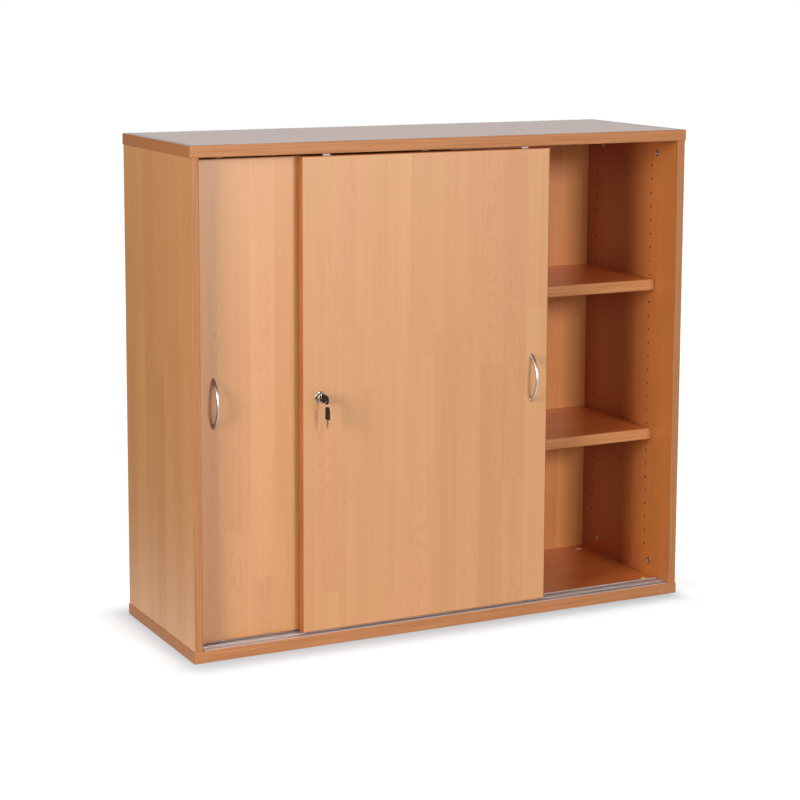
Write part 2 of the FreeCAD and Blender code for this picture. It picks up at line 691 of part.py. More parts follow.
# ----------------------------------------------------------------------------------------
# Cam fittings and dowels
# ----------------------------------------------------------------------------------------


def cam_locks():
    """Its own Z points out of the panel, and its own Y towards the bolt."""
    blank = rod("cam_blank", "cam_radius", "cam_depth", ("0", "0", "-cam_depth"))
    bolt_way = rod("cam_bolt_way", "bolt_shank_radius + pin_fit", "2 * cam_radius", ("0", "0", "-wall / 2"), TO_BACK)
    bolt_seat = rod(
        "cam_bolt_seat",
        "bolt_shank_radius + pin_fit",
        "bolt_head_length",
        ("0", "-bolt_head_length", "-wall / 2"),
        TO_BACK,
    )
    across = block(
        "cam_cross_across",
        ("-cam_cross / 2", "-cam_cross_width / 2", "-cam_cross_depth"),
        ("cam_cross", "cam_cross_width", "cam_cross_depth"),
    )
    upward = block(
        "cam_cross_upward",
        ("-cam_cross_width / 2", "-cam_cross / 2", "-cam_cross_depth"),
        ("cam_cross_width", "cam_cross", "cam_cross_depth"),
    )
    cam = cut("cam", blank, bolt_way, bolt_seat, across, upward)
    spots = []
    for y in CAM_ROWS:
        for z, bolt_from in (("inside_floor + cam_rise", -Z), ("inside_roof - cam_rise", Z)):
            spots.append(("-side_in", y, z, axes_turn(bolt_from, X)))
            spots.append(("side_in", y, z, axes_turn(bolt_from, -X)))
    return group("cam_locks", cam, spots)


def cam_bolts():
    """Its own Z runs from the horizontal panel's face into the side panel."""
    shank_end = "cam_rise - bolt_neck_length"
    bolt = revolved(
        "cam_bolt",
        [
            ("0", "-bolt_thread_depth"),
            ("bolt_thread_radius", "-bolt_thread_depth"),
            ("bolt_thread_radius", "0"),
            ("bolt_shank_radius", "0"),
            ("bolt_shank_radius", shank_end),
            ("bolt_neck_radius", shank_end),
            ("bolt_neck_radius", "cam_rise"),
            ("bolt_head_radius", "cam_rise"),
            ("bolt_head_radius", "cam_rise + bolt_head_length - pin_fit"),
            ("0", "cam_rise + bolt_head_length - pin_fit"),
        ],
    )
    spots = [(x, y, "inside_floor", UPRIGHT) for x, y in CAM_SPOTS]
    spots += [(x, y, "inside_roof", Rotation(X, 180)) for x, y in CAM_SPOTS]
    return group("cam_bolts", bolt, spots)


def wood_dowels():
    dowel = rod("dowel", "dowel_radius", "dowel_length")
    spots = [(x, y, "inside_floor - dowel_short_end", UPRIGHT) for x, y in DOWEL_SPOTS]
    spots += [(x, y, "inside_roof - dowel_long_end", UPRIGHT) for x, y in DOWEL_SPOTS]
    return group("wood_dowels", dowel, spots)


def back_dowels():
    dowel = rod("back_dowel", "dowel_radius", "dowel_length")
    spots = []
    for z in BACK_DOWEL_HEIGHTS:
        spots.append(("-side_in - back_dowel_depth", "back_mid_y", z, TO_RIGHT))
        spots.append(("side_in + back_dowel_depth", "back_mid_y", z, TO_LEFT))
    return group("back_dowels", dowel, spots)


# ----------------------------------------------------------------------------------------
# Levelling feet, their sleeves and the caps over their access bores
# ----------------------------------------------------------------------------------------

FEET = {
    "foot_front_left": ("-foot_x", "foot_front_y"),
    "foot_back_left": ("-foot_x", "foot_back_y"),
    "foot_front_right": ("foot_x", "foot_front_y"),
    "foot_back_right": ("foot_x", "foot_back_y"),
}


def foot(name, x, y):
    """A round pad on the floor with a stem that screws into its sleeve."""
    foot_pad = rod(name + "_pad", "foot_pad_radius", "foot_pad_height")
    stem = rod(name + "_stem", "foot_stem_radius", "foot_stem_length", ("0", "0", "foot_pad_height"))
    return place(fused(name, foot_pad, stem), x, y, "0")


def foot_sleeves():
    flange = rod("sleeve_flange_disc", "sleeve_flange_radius", "sleeve_flange")
    tube = rod("sleeve_tube", "sleeve_radius", "sleeve_flange + sleeve_length")
    bore = rod("sleeve_bore", "foot_stem_radius + thread_fit", "sleeve_flange + sleeve_length")
    sleeve = cut("sleeve", fused("sleeve_blank", flange, tube), bore)
    return group("foot_sleeves", sleeve, [(x, y, "sleeve_z", UPRIGHT) for x, y in FOOT_SPOTS])


def foot_caps():
    rim = rod("cap_rim_disc", "cap_radius", "cap_rim")
    plug = rod("cap_plug", "cap_plug_radius", "cap_plug_length", ("0", "0", "-cap_plug_length"))
    hole = rod("cap_hole", "cap_hole_radius", "cap_plug_length + cap_rim", ("0", "0", "-cap_plug_length"))
    cap = cut("cap", fused("cap_blank", rim, plug), hole)
    return group("foot_caps", cap, [(x, y, "inside_floor", UPRIGHT) for x, y in FOOT_SPOTS])


# ----------------------------------------------------------------------------------------
# Tracks
# ----------------------------------------------------------------------------------------


def bottom_track():
    """Two raised bands joined by a thin web, with one rail standing on each band."""
    end = "track_y + track_depth"
    inner_edges = ("track_y + track_band", "track_y + door_pitch")
    band = "inside_floor + track_band_height"
    web = "inside_floor + track_web_height"
    rail = "inside_floor + rail_height"

    def rail_corners(y):
        near_side, far_side = f"{y} - rail_width / 2", f"{y} + rail_width / 2"
        return [(far_side, band), (far_side, rail), (near_side, rail), (near_side, band)]

    owner = body("bottom_track")
    sketch = sketch_on(owner, "YZ", "track_end_gap - side_in")
    outline(
        sketch,
        [("track_y", "inside_floor"), (end, "inside_floor"), (end, band)]
        + rail_corners("rail_back_y")
        + [(inner_edges[1], band), (inner_edges[1], web), (inner_edges[0], web), (inner_edges[0], band)]
        + rail_corners("rail_front_y")
        + [("track_y", band)],
    )
    pad(owner, sketch, "2 * side_in - 2 * track_end_gap")
    holes = [(x, TRACK_SCREW_Y) for x in TRACK_SCREWS]
    bores(owner, "XY", "inside_floor + track_web_height", holes, "small_screw_radius + pin_fit", "track_web_height")
    return owner


def small_screw():
    """Its own Z points out of what it holds; its head sits on Z = 0."""
    shank = rod("small_shank", "small_screw_radius", "small_screw_length", ("0", "0", "-small_screw_length"))
    head = rod("small_head", "small_head_radius", "small_head_height")
    recess = block(
        "small_recess",
        ("-small_head_radius / 2", "-small_screw_radius / 4", "small_head_height / 2"),
        ("small_head_radius", "small_screw_radius / 2", "small_head_height"),
    )
    return cut("small_screw", fused("small_screw_blank", shank, head), recess)


def top_track():
    """A strip let into the top panel, with a channel over each door."""
    far = "top_track_y + top_track_depth"
    top = "inside_roof + top_track_height"
    channel_roof = "inside_roof + top_track_height - top_track_wall"

    def channel(y):
        near_side, far_side = f"{y} - channel_width / 2", f"{y} + channel_width / 2"
        return [
            (near_side, "inside_roof"),
            (near_side, channel_roof),
            (far_side, channel_roof),
            (far_side, "inside_roof"),
        ]

    owner = body("top_track")
    sketch = sketch_on(owner, "YZ", "track_fit - side_in")
    outline(
        sketch,
        [("top_track_y", "inside_roof")]
        + channel("rail_front_y")
        + channel("rail_back_y")
        + [(far, "inside_roof"), (far, top), ("top_track_y", top)],
    )
    pad(owner, sketch, "2 * side_in - 2 * track_fit")
    return owner


# ----------------------------------------------------------------------------------------
# Doors, in a frame of their own: X from the left edge, Y from the front face, Z from below
# ----------------------------------------------------------------------------------------

HARDWARE = ("hardware_inset", "door_width - hardware_inset")
HANDLE_HEIGHTS = ("door_height / 2 - handle_centres / 2", "door_height / 2 + handle_centres / 2")


def door_seats(owner):
    """Seats for the roller housings below and the guides above."""
    housing = [
        (
            f"{x} - housing_length / 2 - seat_fit",
            "door_board / 2 - housing_width / 2 - seat_fit",
            "housing_length + 2 * seat_fit",
            "housing_width + 2 * seat_fit",
        )
        for x in HARDWARE
    ]
    slots(owner, "XY", "0", housing, "housing_height + seat_fit", True)
    guides = [
        (
            f"{x} - guide_length / 2 - seat_fit",
            "door_board / 2 - guide_thickness / 2 - seat_fit",
            "guide_length + 2 * seat_fit",
            "guide_thickness + 2 * seat_fit",
        )
        for x in HARDWARE
    ]
    slots(owner, "XY", "door_height", guides, "guide_seat + seat_fit")


def door_panel(name, x, face, handle_x, with_lock=False):
    owner = body(name)
    sketch = sketch_on(owner, "XZ", "-door_board")
    rectangle(sketch, "edging", "edging", "door_width - 2 * edging", "door_height - 2 * edging")
    pad(owner, sketch, "door_board")
    door_seats(owner)
    bores(owner, "XZ", "0", [(handle_x, z) for z in HANDLE_HEIGHTS], "handle_screw_radius + pin_fit", "door_board")
    if with_lock:
        bores(owner, "XZ", "0", [("lock_inset", "door_height / 2")], "lock_radius + pin_fit", "door_board")
        screws = [
            (f"lock_inset + {side} * (plate_width / 2 - plate_screw_inset)", "door_height / 2") for side in (-1, 1)
        ]
        depth = "small_screw_length - plate_thickness + pin_fit"
        bores(owner, "XZ", "-door_board", screws, "small_screw_radius + pin_fit", depth, True)
    return place(owner, x, face, "door_z")


def door_edging(name, x, face):
    """One strip wrapped round all four edges of a door."""
    owner = body(name)
    sketch = sketch_on(owner, "XZ", "-door_board")
    rectangle(sketch, "0", "0", "door_width", "door_height")
    rectangle(sketch, "edging", "edging", "door_width - 2 * edging", "door_height - 2 * edging")
    strip = pad(owner, sketch, "door_board")
    width, height = number_of("door_width"), number_of("door_height")

    def outer_run(box):
        along_x = near(box.ZLength, 0) and (near(box.ZMin, 0) or near(box.ZMin, height))
        along_z = near(box.XLength, 0) and (near(box.XMin, 0) or near(box.XMin, width))
        return near(box.YLength, 0) and (along_x or along_z)

    round_edges(owner, strip, "edge_round", outer_run)
    door_seats(owner)
    return place(owner, x, face, "door_z")


def door_guide():
    """A block in the door's top edge whose nose runs in the channel of the top track."""
    owner = body("guide")
    sketch = sketch_on(owner, "XY")
    rectangle(sketch, "-guide_length / 2", "-guide_thickness / 2", "guide_length", "guide_thickness")
    blank = pad(owner, sketch, "guide_height")
    round_edges(owner, blank, "guide_round", lambda box: box.ZLength > number_of("guide_height") / 2)
    return owner


def roller_housing():
    """A block in the door's bottom edge with a slot for the roller and a bore for its axle."""
    owner = body("housing")
    sketch = sketch_on(owner, "XY")
    rectangle(sketch, "-housing_length / 2", "-housing_width / 2", "housing_length", "housing_width")
    pad(owner, sketch, "housing_height")
    slot = [
        (
            "-roller_radius - roller_room",
            "-roller_width / 2 - roller_room",
            "2 * roller_radius + 2 * roller_room",
            "roller_width + 2 * roller_room",
        )
    ]
    slots(owner, "XY", "0", slot, "roller_rise + roller_radius + roller_room", True)
    bores(owner, "XZ", "housing_width / 2", [("0", "roller_rise")], "axle_radius + pin_fit", "housing_width")
    return owner


def roller(name, x, face):
    """A wheel with a groove that straddles the rail; its own Z is its axle."""
    groove_low = "roller_width / 2 - roller_groove_width / 2"
    groove_high = "roller_width / 2 + roller_groove_width / 2"
    owner = revolved(
        name,
        [
            ("axle_radius + axle_fit", "0"),
            ("roller_radius", "0"),
            ("roller_radius", groove_low),
            ("roller_groove_radius", groove_low),
            ("roller_groove_radius", groove_high),
            ("roller_radius", groove_high),
            ("roller_radius", "roller_width"),
            ("axle_radius + axle_fit", "roller_width"),
        ],
    )
    return place(owner, x, f"{face} + door_board / 2 - roller_width / 2", "door_z + roller_rise", TO_BACK)


def handle(name, x, face):
    """A rod bent to an arc that meets the door's face, with a round foot at each screw."""
    ring = doc.addObject("Part::Torus", name + "_ring")
    bind(ring, Radius1="handle_arc_radius", Radius2="handle_radius")
    place(ring, "0", "handle_arc_radius - handle_rise", "0", TO_RIGHT)
    in_front = block(
        name + "_front",
        ("-handle_span", "-handle_span", "-handle_span"),
        ("2 * handle_span", "handle_span", "2 * handle_span"),
    )
    pieces = [common(name + "_bow", ring, in_front)]
    holes = []
    for side in (-1, 1):
        z = f"{side} * handle_centres / 2"
        pieces.append(rod(name + "_foot", "handle_foot_radius", "handle_foot_height", ("0", "0", z), TO_FRONT))
        hole = rod(
            name + "_hole",
            "handle_screw_radius + pin_fit",
            "handle_screw_hold + pin_fit",
            ("0", "0", z),
            TO_FRONT,
        )
        holes.append(hole)
    return place(cut(name, fused(name + "_blank", *pieces), *holes), x, face, "door_mid_z")


def handle_screw():
    """Its own Z is its way in; its head's seat is at Z = 0."""
    shank = rod("handle_shank", "handle_screw_radius", "door_board + handle_screw_hold")
    head = rod("handle_head", "screw_head_radius", "screw_head_height", ("0", "0", "-screw_head_height"))
    across = block(
        "handle_screw_across",
        ("-screw_head_radius / 2", "-screw_head_radius / 8", "-screw_head_height"),
        ("screw_head_radius", "screw_head_radius / 4", "screw_head_height / 2"),
    )
    upward = block(
        "handle_screw_upward",
        ("-screw_head_radius / 8", "-screw_head_radius / 2", "-screw_head_height"),
        ("screw_head_radius / 4", "screw_head_radius", "screw_head_height / 2"),
    )
    return cut("handle_screw", fused("handle_screw_blank", shank, head), across, upward)


# ----------------------------------------------------------------------------------------
# Lock: its own Z points out of the door's face, which is at Z = 0
# ----------------------------------------------------------------------------------------


def at_lock(piece):
    return place(piece, "lock_x", "front_face_y", "door_mid_z", TO_FRONT)


def lock_housing():
    return at_lock(
        revolved(
            "lock_housing",
            [
                ("bolt_radius + push_fit", "-door_board"),
                ("lock_radius", "-door_board"),
                ("lock_radius", "0"),
                ("rose_radius", "0"),
                ("rose_radius", "rose_height - rose_chamfer"),
                ("rose_radius - rose_chamfer", "rose_height"),
                ("barrel_bore", "rose_height"),
                ("barrel_bore", "lock_end_wall - door_board"),
                ("bolt_radius + push_fit", "lock_end_wall - door_board"),
            ],
        )
    )


def lock_barrel():
    return at_lock(
        revolved(
            "lock_barrel",
            [
                ("bolt_spigot_radius + pin_fit", "-barrel_inside"),
                ("spring_inner", "-barrel_inside"),
                ("spring_inner", "0"),
                ("spring_outer", "0"),
                ("spring_outer", "-barrel_inside"),
                ("barrel_radius", "-barrel_inside"),
                ("barrel_radius", "barrel_reach - barrel_chamfer"),
                ("barrel_radius - barrel_chamfer", "barrel_reach"),
                ("core_radius + push_fit", "barrel_reach"),
                ("core_radius + push_fit", "core_floor"),
                ("bolt_spigot_radius + pin_fit", "core_floor"),
            ],
        )
    )


def lock_bolt():
    tip = "bolt_rest_gap - door_board"
    return at_lock(
        revolved(
            "lock_bolt",
            [
                ("0", tip),
                ("bolt_radius - barrel_chamfer", tip),
                ("bolt_radius", "bolt_rest_gap - door_board + barrel_chamfer"),
                ("bolt_radius", "-barrel_inside"),
                ("bolt_spigot_radius", "-barrel_inside"),
                ("bolt_spigot_radius", "core_floor - pin_fit"),
                ("0", "core_floor - pin_fit"),
            ],
        )
    )


def lock_spring():
    """A coil between the barrel's recess and the housing's end wall."""
    coil = doc.addObject("Part::Helix", "spring_path")
    bind(coil, Radius="spring_radius", Height="spring_length", Pitch="spring_length / spring_turns")
    coil.SegmentLength = 1
    wire = doc.addObject("Part::Circle", "spring_wire")
    bind(wire, Radius="spring_wire_radius")
    place(wire, "spring_radius", "0", "0", TO_BACK)
    piece = doc.addObject("Part::Sweep", "lock_spring")
    piece.Sections = [wire]
    piece.Spine = (coil, [f"Edge{turn + 1}" for turn in range(int(number_of("spring_turns")))])
    piece.Solid = True
    piece.Frenet = True
    far_end = "front_face_y + door_board - lock_end_wall - spring_room - spring_wire_radius"
    return place(piece, "lock_x", far_end, "door_mid_z", TO_FRONT)


def lock_core():
    blank = rod("core_blank", "core_radius", "barrel_reach + core_proud - core_floor - pin_fit")
    keyway = block(
        "core_keyway",
        (
            "-blade_thickness / 2 - keyway_width_room",
            "-blade_width / 2 - keyway_height_room",
            "0",
        ),
        (
            "blade_thickness + 2 * keyway_width_room",
            "blade_width + 2 * keyway_height_room",
            "barrel_reach + core_proud - core_floor",
        ),
    )
    return place(
        cut("lock_core", blank, keyway),
        "lock_x",
        "front_face_y - core_floor - pin_fit",
        "door_mid_z",
        TO_FRONT,
    )


def lock_plate():
    plate = block(
        "plate_blank",
        ("-plate_width / 2", "-plate_height / 2", "-door_board - plate_thickness"),
        ("plate_width", "plate_height", "plate_thickness"),
    )
    holes = [rod("plate_bolt_hole", "bolt_radius + push_fit + pin_fit", "plate_thickness")]
    for side in (-1, 1):
        holes.append(rod("plate_screw_hole", "small_screw_radius + pin_fit", "plate_thickness"))
        place(holes[-1], f"{side} * (plate_width / 2 - plate_screw_inset)", "0", "-door_board - plate_thickness")
    place(holes[0], "0", "0", "-door_board - plate_thickness")
    return at_lock(cut("lock_plate", plate, *holes))


# ----------------------------------------------------------------------------------------
# Keys, in a frame of their own: Z from the head's shoulder to its tip, X through its flat
# ----------------------------------------------------------------------------------------

TURN_OF_KEY = Rotation(X, 90 + number_of("key_droop"))


def key_head():
    owner = body("head")
    sketch = sketch_on(owner, "YZ", "-head_thickness / 2")
    outline(
        sketch,
        [
            ("-head_width / 2", "0"),
            ("head_width / 2", "0"),
            ("head_width / 2", "head_straight"),
            ("head_tip_width / 2", "head_length"),
            ("-head_tip_width / 2", "head_length"),
            ("-head_width / 2", "head_straight"),
        ],
    )
    blank = pad(owner, sketch, "head_thickness")
    tip, thickness = number_of("head_length"), number_of("head_thickness")

    def across(box):
        return near(box.XLength, thickness)

    rounded = round_edges(owner, blank, "head_tip_round", lambda box: across(box) and near(box.ZMin, tip))
    round_edges(owner, rounded, "head_shoulder_round", lambda box: across(box) and near(box.ZMax, 0))
    hole = [("0", "head_length - key_hole_inset")]
    bores(owner, "YZ", "head_thickness / 2", hole, "key_hole_radius", "head_thickness")
    tang_seat = [
        (
            "-blade_thickness / 2 - pin_fit",
            "-blade_width / 2 - pin_fit",
            "blade_thickness + 2 * pin_fit",
            "blade_width + 2 * pin_fit",
        )
    ]
    slots(owner, "XY", "0", tang_seat, "blade_tang + pin_fit", True)
    return owner


def key_blade():
    """A flat blade with notches along its lower edge."""
    owner = body("blade")
    sketch = sketch_on(owner, "YZ", "-blade_thickness / 2")
    edge = "-blade_width / 2"
    notch_floor = "notch_depth - blade_width / 2"
    corners = [(edge, "-blade_length"), ("0", "-blade_length - notch_depth")]
    corners += [("blade_width / 2", "-blade_length"), ("blade_width / 2", "blade_tang"), (edge, "blade_tang")]
    notches = 4
    for n in range(notches):
        middle = f"-blade_length * {2 * n + 2} / {2 * notches + 2}"
        half = "notch_depth"
        corners += [(edge, f"{middle} + {half}"), (notch_floor, middle), (edge, f"{middle} - {half}")]
    outline(sketch, corners)
    pad(owner, sketch, "blade_thickness")
    return owner


def in_lock(name, pattern):
    along = "(key_gap * cos(key_droop))"
    down = "(key_gap * sin(key_droop))"
    y = f"front_face_y - barrel_reach - {along}"
    return group(name, pattern, [("lock_x", y, f"door_mid_z - {down}", TURN_OF_KEY)])


def on_ring(name, pattern):
    z = "spare_hole_z + key_hole_inset - head_length"
    return group(name, pattern, [("lock_x", "key_hole_y", z, UPRIGHT)])


def key_ring():
    ring = doc.addObject("Part::Torus", "key_ring")
    bind(ring, Radius1="ring_radius", Radius2="ring_wire_radius")
    return place(ring, "lock_x", "key_hole_y", "ring_top_z - ring_radius", TO_BACK)


# ----------------------------------------------------------------------------------------
# The whole cabinet: each node's name, and the piece or pieces that it holds
# ----------------------------------------------------------------------------------------

nodes = {
    "top_panel": top_panel(),
    "bottom_panel": bottom_panel(),
    "left_side_panel": side_panel("left_side_panel", True),
    "right_side_panel": side_panel("right_side_panel", False),
    "centre_partition": centre_partition(),
    "back_panel": back_panel(),
    "top_edging": panel_edging("top_edging", "inside_roof"),
    "bottom_edging": panel_edging("bottom_edging", "base"),
}

for name, (x, z) in SHELVES.items():
    nodes[name] = shelf(name, x, z)

wall_strip = straight_edging("wall_strip", "XY", "side_height", "wall")
shelf_strip = straight_edging("shelf_strip", "YZ", "shelf_length", "board")
side_strips = [(x, CORE_Y, "inside_floor", UPRIGHT) for x in ("-side_out", "side_in")]
shelf_strips = [(x, "shelf_y + edging", z, UPRIGHT) for x, z in SHELVES.values()]
nodes["side_edging"] = group("side_edging", wall_strip, side_strips)
nodes["partition_edging"] = group(
    "partition_edging", wall_strip, [("-wall / 2", "shelf_y + edging", "inside_floor", UPRIGHT)]
)
nodes["shelf_edging"] = group("shelf_edging", shelf_strip, shelf_strips)

nodes["shelf_supports"] = shelf_supports()
nodes["cam_locks"] = cam_locks()
nodes["cam_bolts"] = cam_bolts()
nodes["wood_dowels"] = wood_dowels()
nodes["back_dowels"] = back_dowels()
nodes["foot_sleeves"] = foot_sleeves()
nodes["foot_caps"] = foot_caps()
for name, (x, y) in FEET.items():
    nodes[name] = foot(name, x, y)

nodes["top_track"] = top_track()
nodes["bottom_track"] = bottom_track()
screw = small_screw()
web_top = "inside_floor + track_web_height"
nodes["track_screws"] = group("track_screws", screw, [(x, TRACK_SCREW_Y, web_top, UPRIGHT) for x in TRACK_SCREWS])

guide = door_guide()
housing = roller_housing()
axle = rod("axle", "axle_radius", "housing_width")
long_screw = handle_screw()

DOORS = {
    "front": ("front_door_x", "front_face_y", "front_handle_x", "door_width - handle_inset"),
    "rear": ("rear_door_x", "rear_face_y", "rear_handle_x", "handle_inset"),
}
for door, (x, face, handle_at, handle_in_door) in DOORS.items():
    mid = f"{face} + door_board / 2"
    left, right = (f"{x} + {inset}" for inset in HARDWARE)
    nodes[f"{door}_door_panel"] = door_panel(f"{door}_door_panel", x, face, handle_in_door, door == "front")
    nodes[f"{door}_door_edging"] = door_edging(f"{door}_door_edging", x, face)
    guides = [(at, mid, "door_z + door_height - guide_seat", UPRIGHT) for at in (left, right)]
    nodes[f"{door}_door_guides"] = group(f"{door}_door_guides", guide, guides)
    housings = [(at, mid, "door_z", UPRIGHT) for at in (left, right)]
    nodes[f"{door}_roller_housings"] = group(f"{door}_roller_housings", housing, housings)
    axles = [(at, f"{mid} - housing_width / 2", "door_z + roller_rise", TO_BACK) for at in (left, right)]
    nodes[f"{door}_roller_axles"] = group(f"{door}_roller_axles", axle, axles)
    nodes[f"{door}_left_roller"] = roller(f"{door}_left_roller", left, face)
    nodes[f"{door}_right_roller"] = roller(f"{door}_right_roller", right, face)
    nodes[f"{door}_door_handle"] = handle(f"{door}_door_handle", handle_at, face)
    screws = [(handle_at, f"{face} + door_board", f"door_z + {z}", TO_FRONT) for z in HANDLE_HEIGHTS]
    nodes[f"{door}_handle_screws"] = group(f"{door}_handle_screws", long_screw, screws)

nodes["lock_housing"] = lock_housing()
nodes["lock_barrel"] = lock_barrel()
nodes["lock_bolt"] = lock_bolt()
nodes["lock_spring"] = lock_spring()
nodes["lock_core"] = lock_core()
nodes["lock_plate"] = lock_plate()
plate_screws = [
    (
        f"lock_x + {side} * (plate_width / 2 - plate_screw_inset)",
        "front_face_y + door_board + plate_thickness",
        "door_mid_z",
        TO_BACK,
    )
    for side in (-1, 1)
]
nodes["lock_screws"] = group("lock_screws", screw, plate_screws)

head = key_head()
blade = key_blade()
nodes["key_head"] = in_lock("key_head", head)
nodes["key_blade"] = in_lock("key_blade", blade)
nodes["key_ring"] = key_ring()
nodes["spare_key_head"] = on_ring("spare_key_head", head)
nodes["spare_key_blade"] = on_ring("spare_key_blade", blade)

# ----------------------------------------------------------------------------------------
# Check every object and write one STEP file for each node
# ----------------------------------------------------------------------------------------

doc.recompute()
for piece in doc.Objects:
    if "Invalid" in piece.State or "Error" in piece.State:
        raise RuntimeError(f"{piece.Name} failed: {piece.State}")

os.makedirs("parts", exist_ok=True)
for name, piece in nodes.items():
    piece.Label = name
    if piece.Shape.isNull() or not piece.Shape.isValid():
        raise RuntimeError(f"{name} has no valid shape")
    piece.Shape.exportStep(f"parts/{name}.step")
    box = piece.Shape.BoundBox
    low = [round(n, 2) for n in (box.XMin, box.YMin, box.ZMin)]
    high = [round(n, 2) for n in (box.XMax, box.YMax, box.ZMax)]
    print(f"{name}: {len(piece.Shape.Solids)} solids, {piece.Shape.Volume:.0f} mm3, {low} to {high}")
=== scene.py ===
# %% [markdown]
# # A cabinet with two sliding doors
#
# This lesson dresses a measured model of an office cabinet: boards with a beech decor, two doors
# that slide past each other, bow handles, a push-in lock with its key, and a spare key on a ring.
# Every board keeps its measured solid and only gets a finish. The small metal and plastic fittings
# are built again, with the rounded edges and recesses that a plain solid lacks.

# %% Load the measured model
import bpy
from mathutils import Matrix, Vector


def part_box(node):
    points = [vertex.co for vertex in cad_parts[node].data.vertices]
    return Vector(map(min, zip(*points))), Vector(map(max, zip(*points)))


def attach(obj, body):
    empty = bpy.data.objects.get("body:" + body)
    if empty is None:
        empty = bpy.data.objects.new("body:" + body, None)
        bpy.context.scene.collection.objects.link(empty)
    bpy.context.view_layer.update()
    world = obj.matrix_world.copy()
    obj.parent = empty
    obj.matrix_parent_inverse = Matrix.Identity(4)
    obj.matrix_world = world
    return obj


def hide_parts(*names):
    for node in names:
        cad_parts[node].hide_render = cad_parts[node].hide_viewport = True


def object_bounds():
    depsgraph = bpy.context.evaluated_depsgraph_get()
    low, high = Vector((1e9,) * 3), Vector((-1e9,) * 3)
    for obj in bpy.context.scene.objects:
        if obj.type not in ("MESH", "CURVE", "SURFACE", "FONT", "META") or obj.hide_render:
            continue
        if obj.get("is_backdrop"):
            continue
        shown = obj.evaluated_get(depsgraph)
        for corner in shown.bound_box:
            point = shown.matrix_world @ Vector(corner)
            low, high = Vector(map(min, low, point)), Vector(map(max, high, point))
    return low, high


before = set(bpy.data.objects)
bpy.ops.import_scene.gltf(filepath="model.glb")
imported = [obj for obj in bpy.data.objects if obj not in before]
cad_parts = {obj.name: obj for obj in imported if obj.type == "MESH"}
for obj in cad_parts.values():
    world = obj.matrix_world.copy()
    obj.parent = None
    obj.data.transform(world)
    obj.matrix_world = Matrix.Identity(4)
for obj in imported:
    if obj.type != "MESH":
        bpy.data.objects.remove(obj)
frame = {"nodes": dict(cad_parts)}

import fnmatch
import math

import bmesh
import bpy
from mathutils import Matrix, Vector

MM = 0.001
measured_box = [list(corner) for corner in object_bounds()]


def linked(name, data):
    """A new object with this data, in the scene."""
    made = bpy.data.objects.new(name, data)
    bpy.context.scene.collection.objects.link(made)
    return made


# %% [markdown]
# ## The camera
#
# The view is a long lens from the front left, a little above the cabinet's top. Its three turns
# are the way round the cabinet, the way down on it and a very small tilt. The camera's sideways,
# upward and backward directions follow from them. The lens is shifted down a little, which keeps
# the cabinet's upright edges close to upright in the picture.

# %% Camera
def camera_matrix(around, above, tilt, spot):
    """The matrix of a camera at a spot, turned these ways."""
    level = Vector((math.cos(around), math.sin(around), 0))
    flat = math.cos(above)
    back = Vector((math.sin(around) * flat, -math.cos(around) * flat, math.sin(above)))
    upward = back.cross(level)
    right = level * math.cos(tilt) + upward * math.sin(tilt)
    up = upward * math.cos(tilt) - level * math.sin(tilt)
    return Matrix.Translation(spot) @ Matrix((right, up, back)).transposed().to_4x4()


AROUND, ABOVE, TILT = -0.469774, 0.139423, 0.004271
CAMERA_SPOT = Vector((-2.15295, -4.17744, 1.41048))
camera_data = bpy.data.cameras.new("camera")
camera_data.sensor_width = 36
camera_data.lens = 95.6496
camera_data.shift_y = -0.15
camera = linked("camera", camera_data)
camera.matrix_world = camera_matrix(AROUND, ABOVE, TILT, CAMERA_SPOT)
bpy.context.scene.camera = camera
bpy.context.scene.view_settings.view_transform = "Standard"
print("lens", camera_data.lens, "mm")

# %% [markdown]
# ## Helpers for shader nodes
#
# A material is a small tree of nodes. These helpers add one node in one line: each input is a
# number, a colour or another node's output, which knows the tree it is in. Every material ends in
# the same way, in a Principled shader with a little relief.

# %% Node helpers
SOCKET = bpy.types.NodeSocket


def node(tree, kind, inputs=None, **settings):
    """One node of a tree, with its settings and its inputs."""
    made = tree.nodes.new(kind)
    for key, value in settings.items():
        setattr(made, key, value)
    for key, value in (inputs or {}).items():
        if isinstance(value, SOCKET):
            tree.links.new(value, made.inputs[key])
        else:
            made.inputs[key].default_value = value
    return made


def after(kind, inputs, **settings):
    """The outputs of a new node, in the tree of the first output that it takes in."""
    tree = next(value.id_data for value in inputs.values() if isinstance(value, SOCKET))
    return node(tree, kind, inputs, **settings).outputs


def maths(operation, *values):
    """One sum on these values."""
    return after("ShaderNodeMath", dict(enumerate(values)), operation=operation)[0]


def times(first, *others):
    """The product of the values."""
    for other in others:
        first = maths("MULTIPLY", first, other)
    return first


def total(first, *others):
    """The sum of the values."""
    for other in others:
        first = maths("ADD", first, other)
    return first


def spread(value, low, high, to_low=0.0, to_high=1.0):
    """A value moved from one range to another, and kept inside it."""
    inputs = {0: value, 1: low, 2: high, 3: to_low, 4: to_high}
    return after("ShaderNodeMapRange", inputs, clamp=True)[0]


def blended(factor, first, second, blend="MIX"):
    """Two colours mixed by a factor."""
    inputs = {0: factor, 6: first, 7: second}
    return after("ShaderNodeMix", inputs, data_type="RGBA", blend_type=blend)[2]


def tinted(colour, tint):
    return blended(1.0, colour, tint, "MULTIPLY")


def vector(*values):
    return after("ShaderNodeCombineXYZ", dict(enumerate(values)))[0]


def axes_of(value):
    """A vector's numbers, by axis."""
    return after("ShaderNodeSeparateXYZ", {0: value})


def noise(place, scale=1.0, detail=2.0):
    return after("ShaderNodeTexNoise", {"Vector": place, "Scale": scale, "Detail": detail})[0]


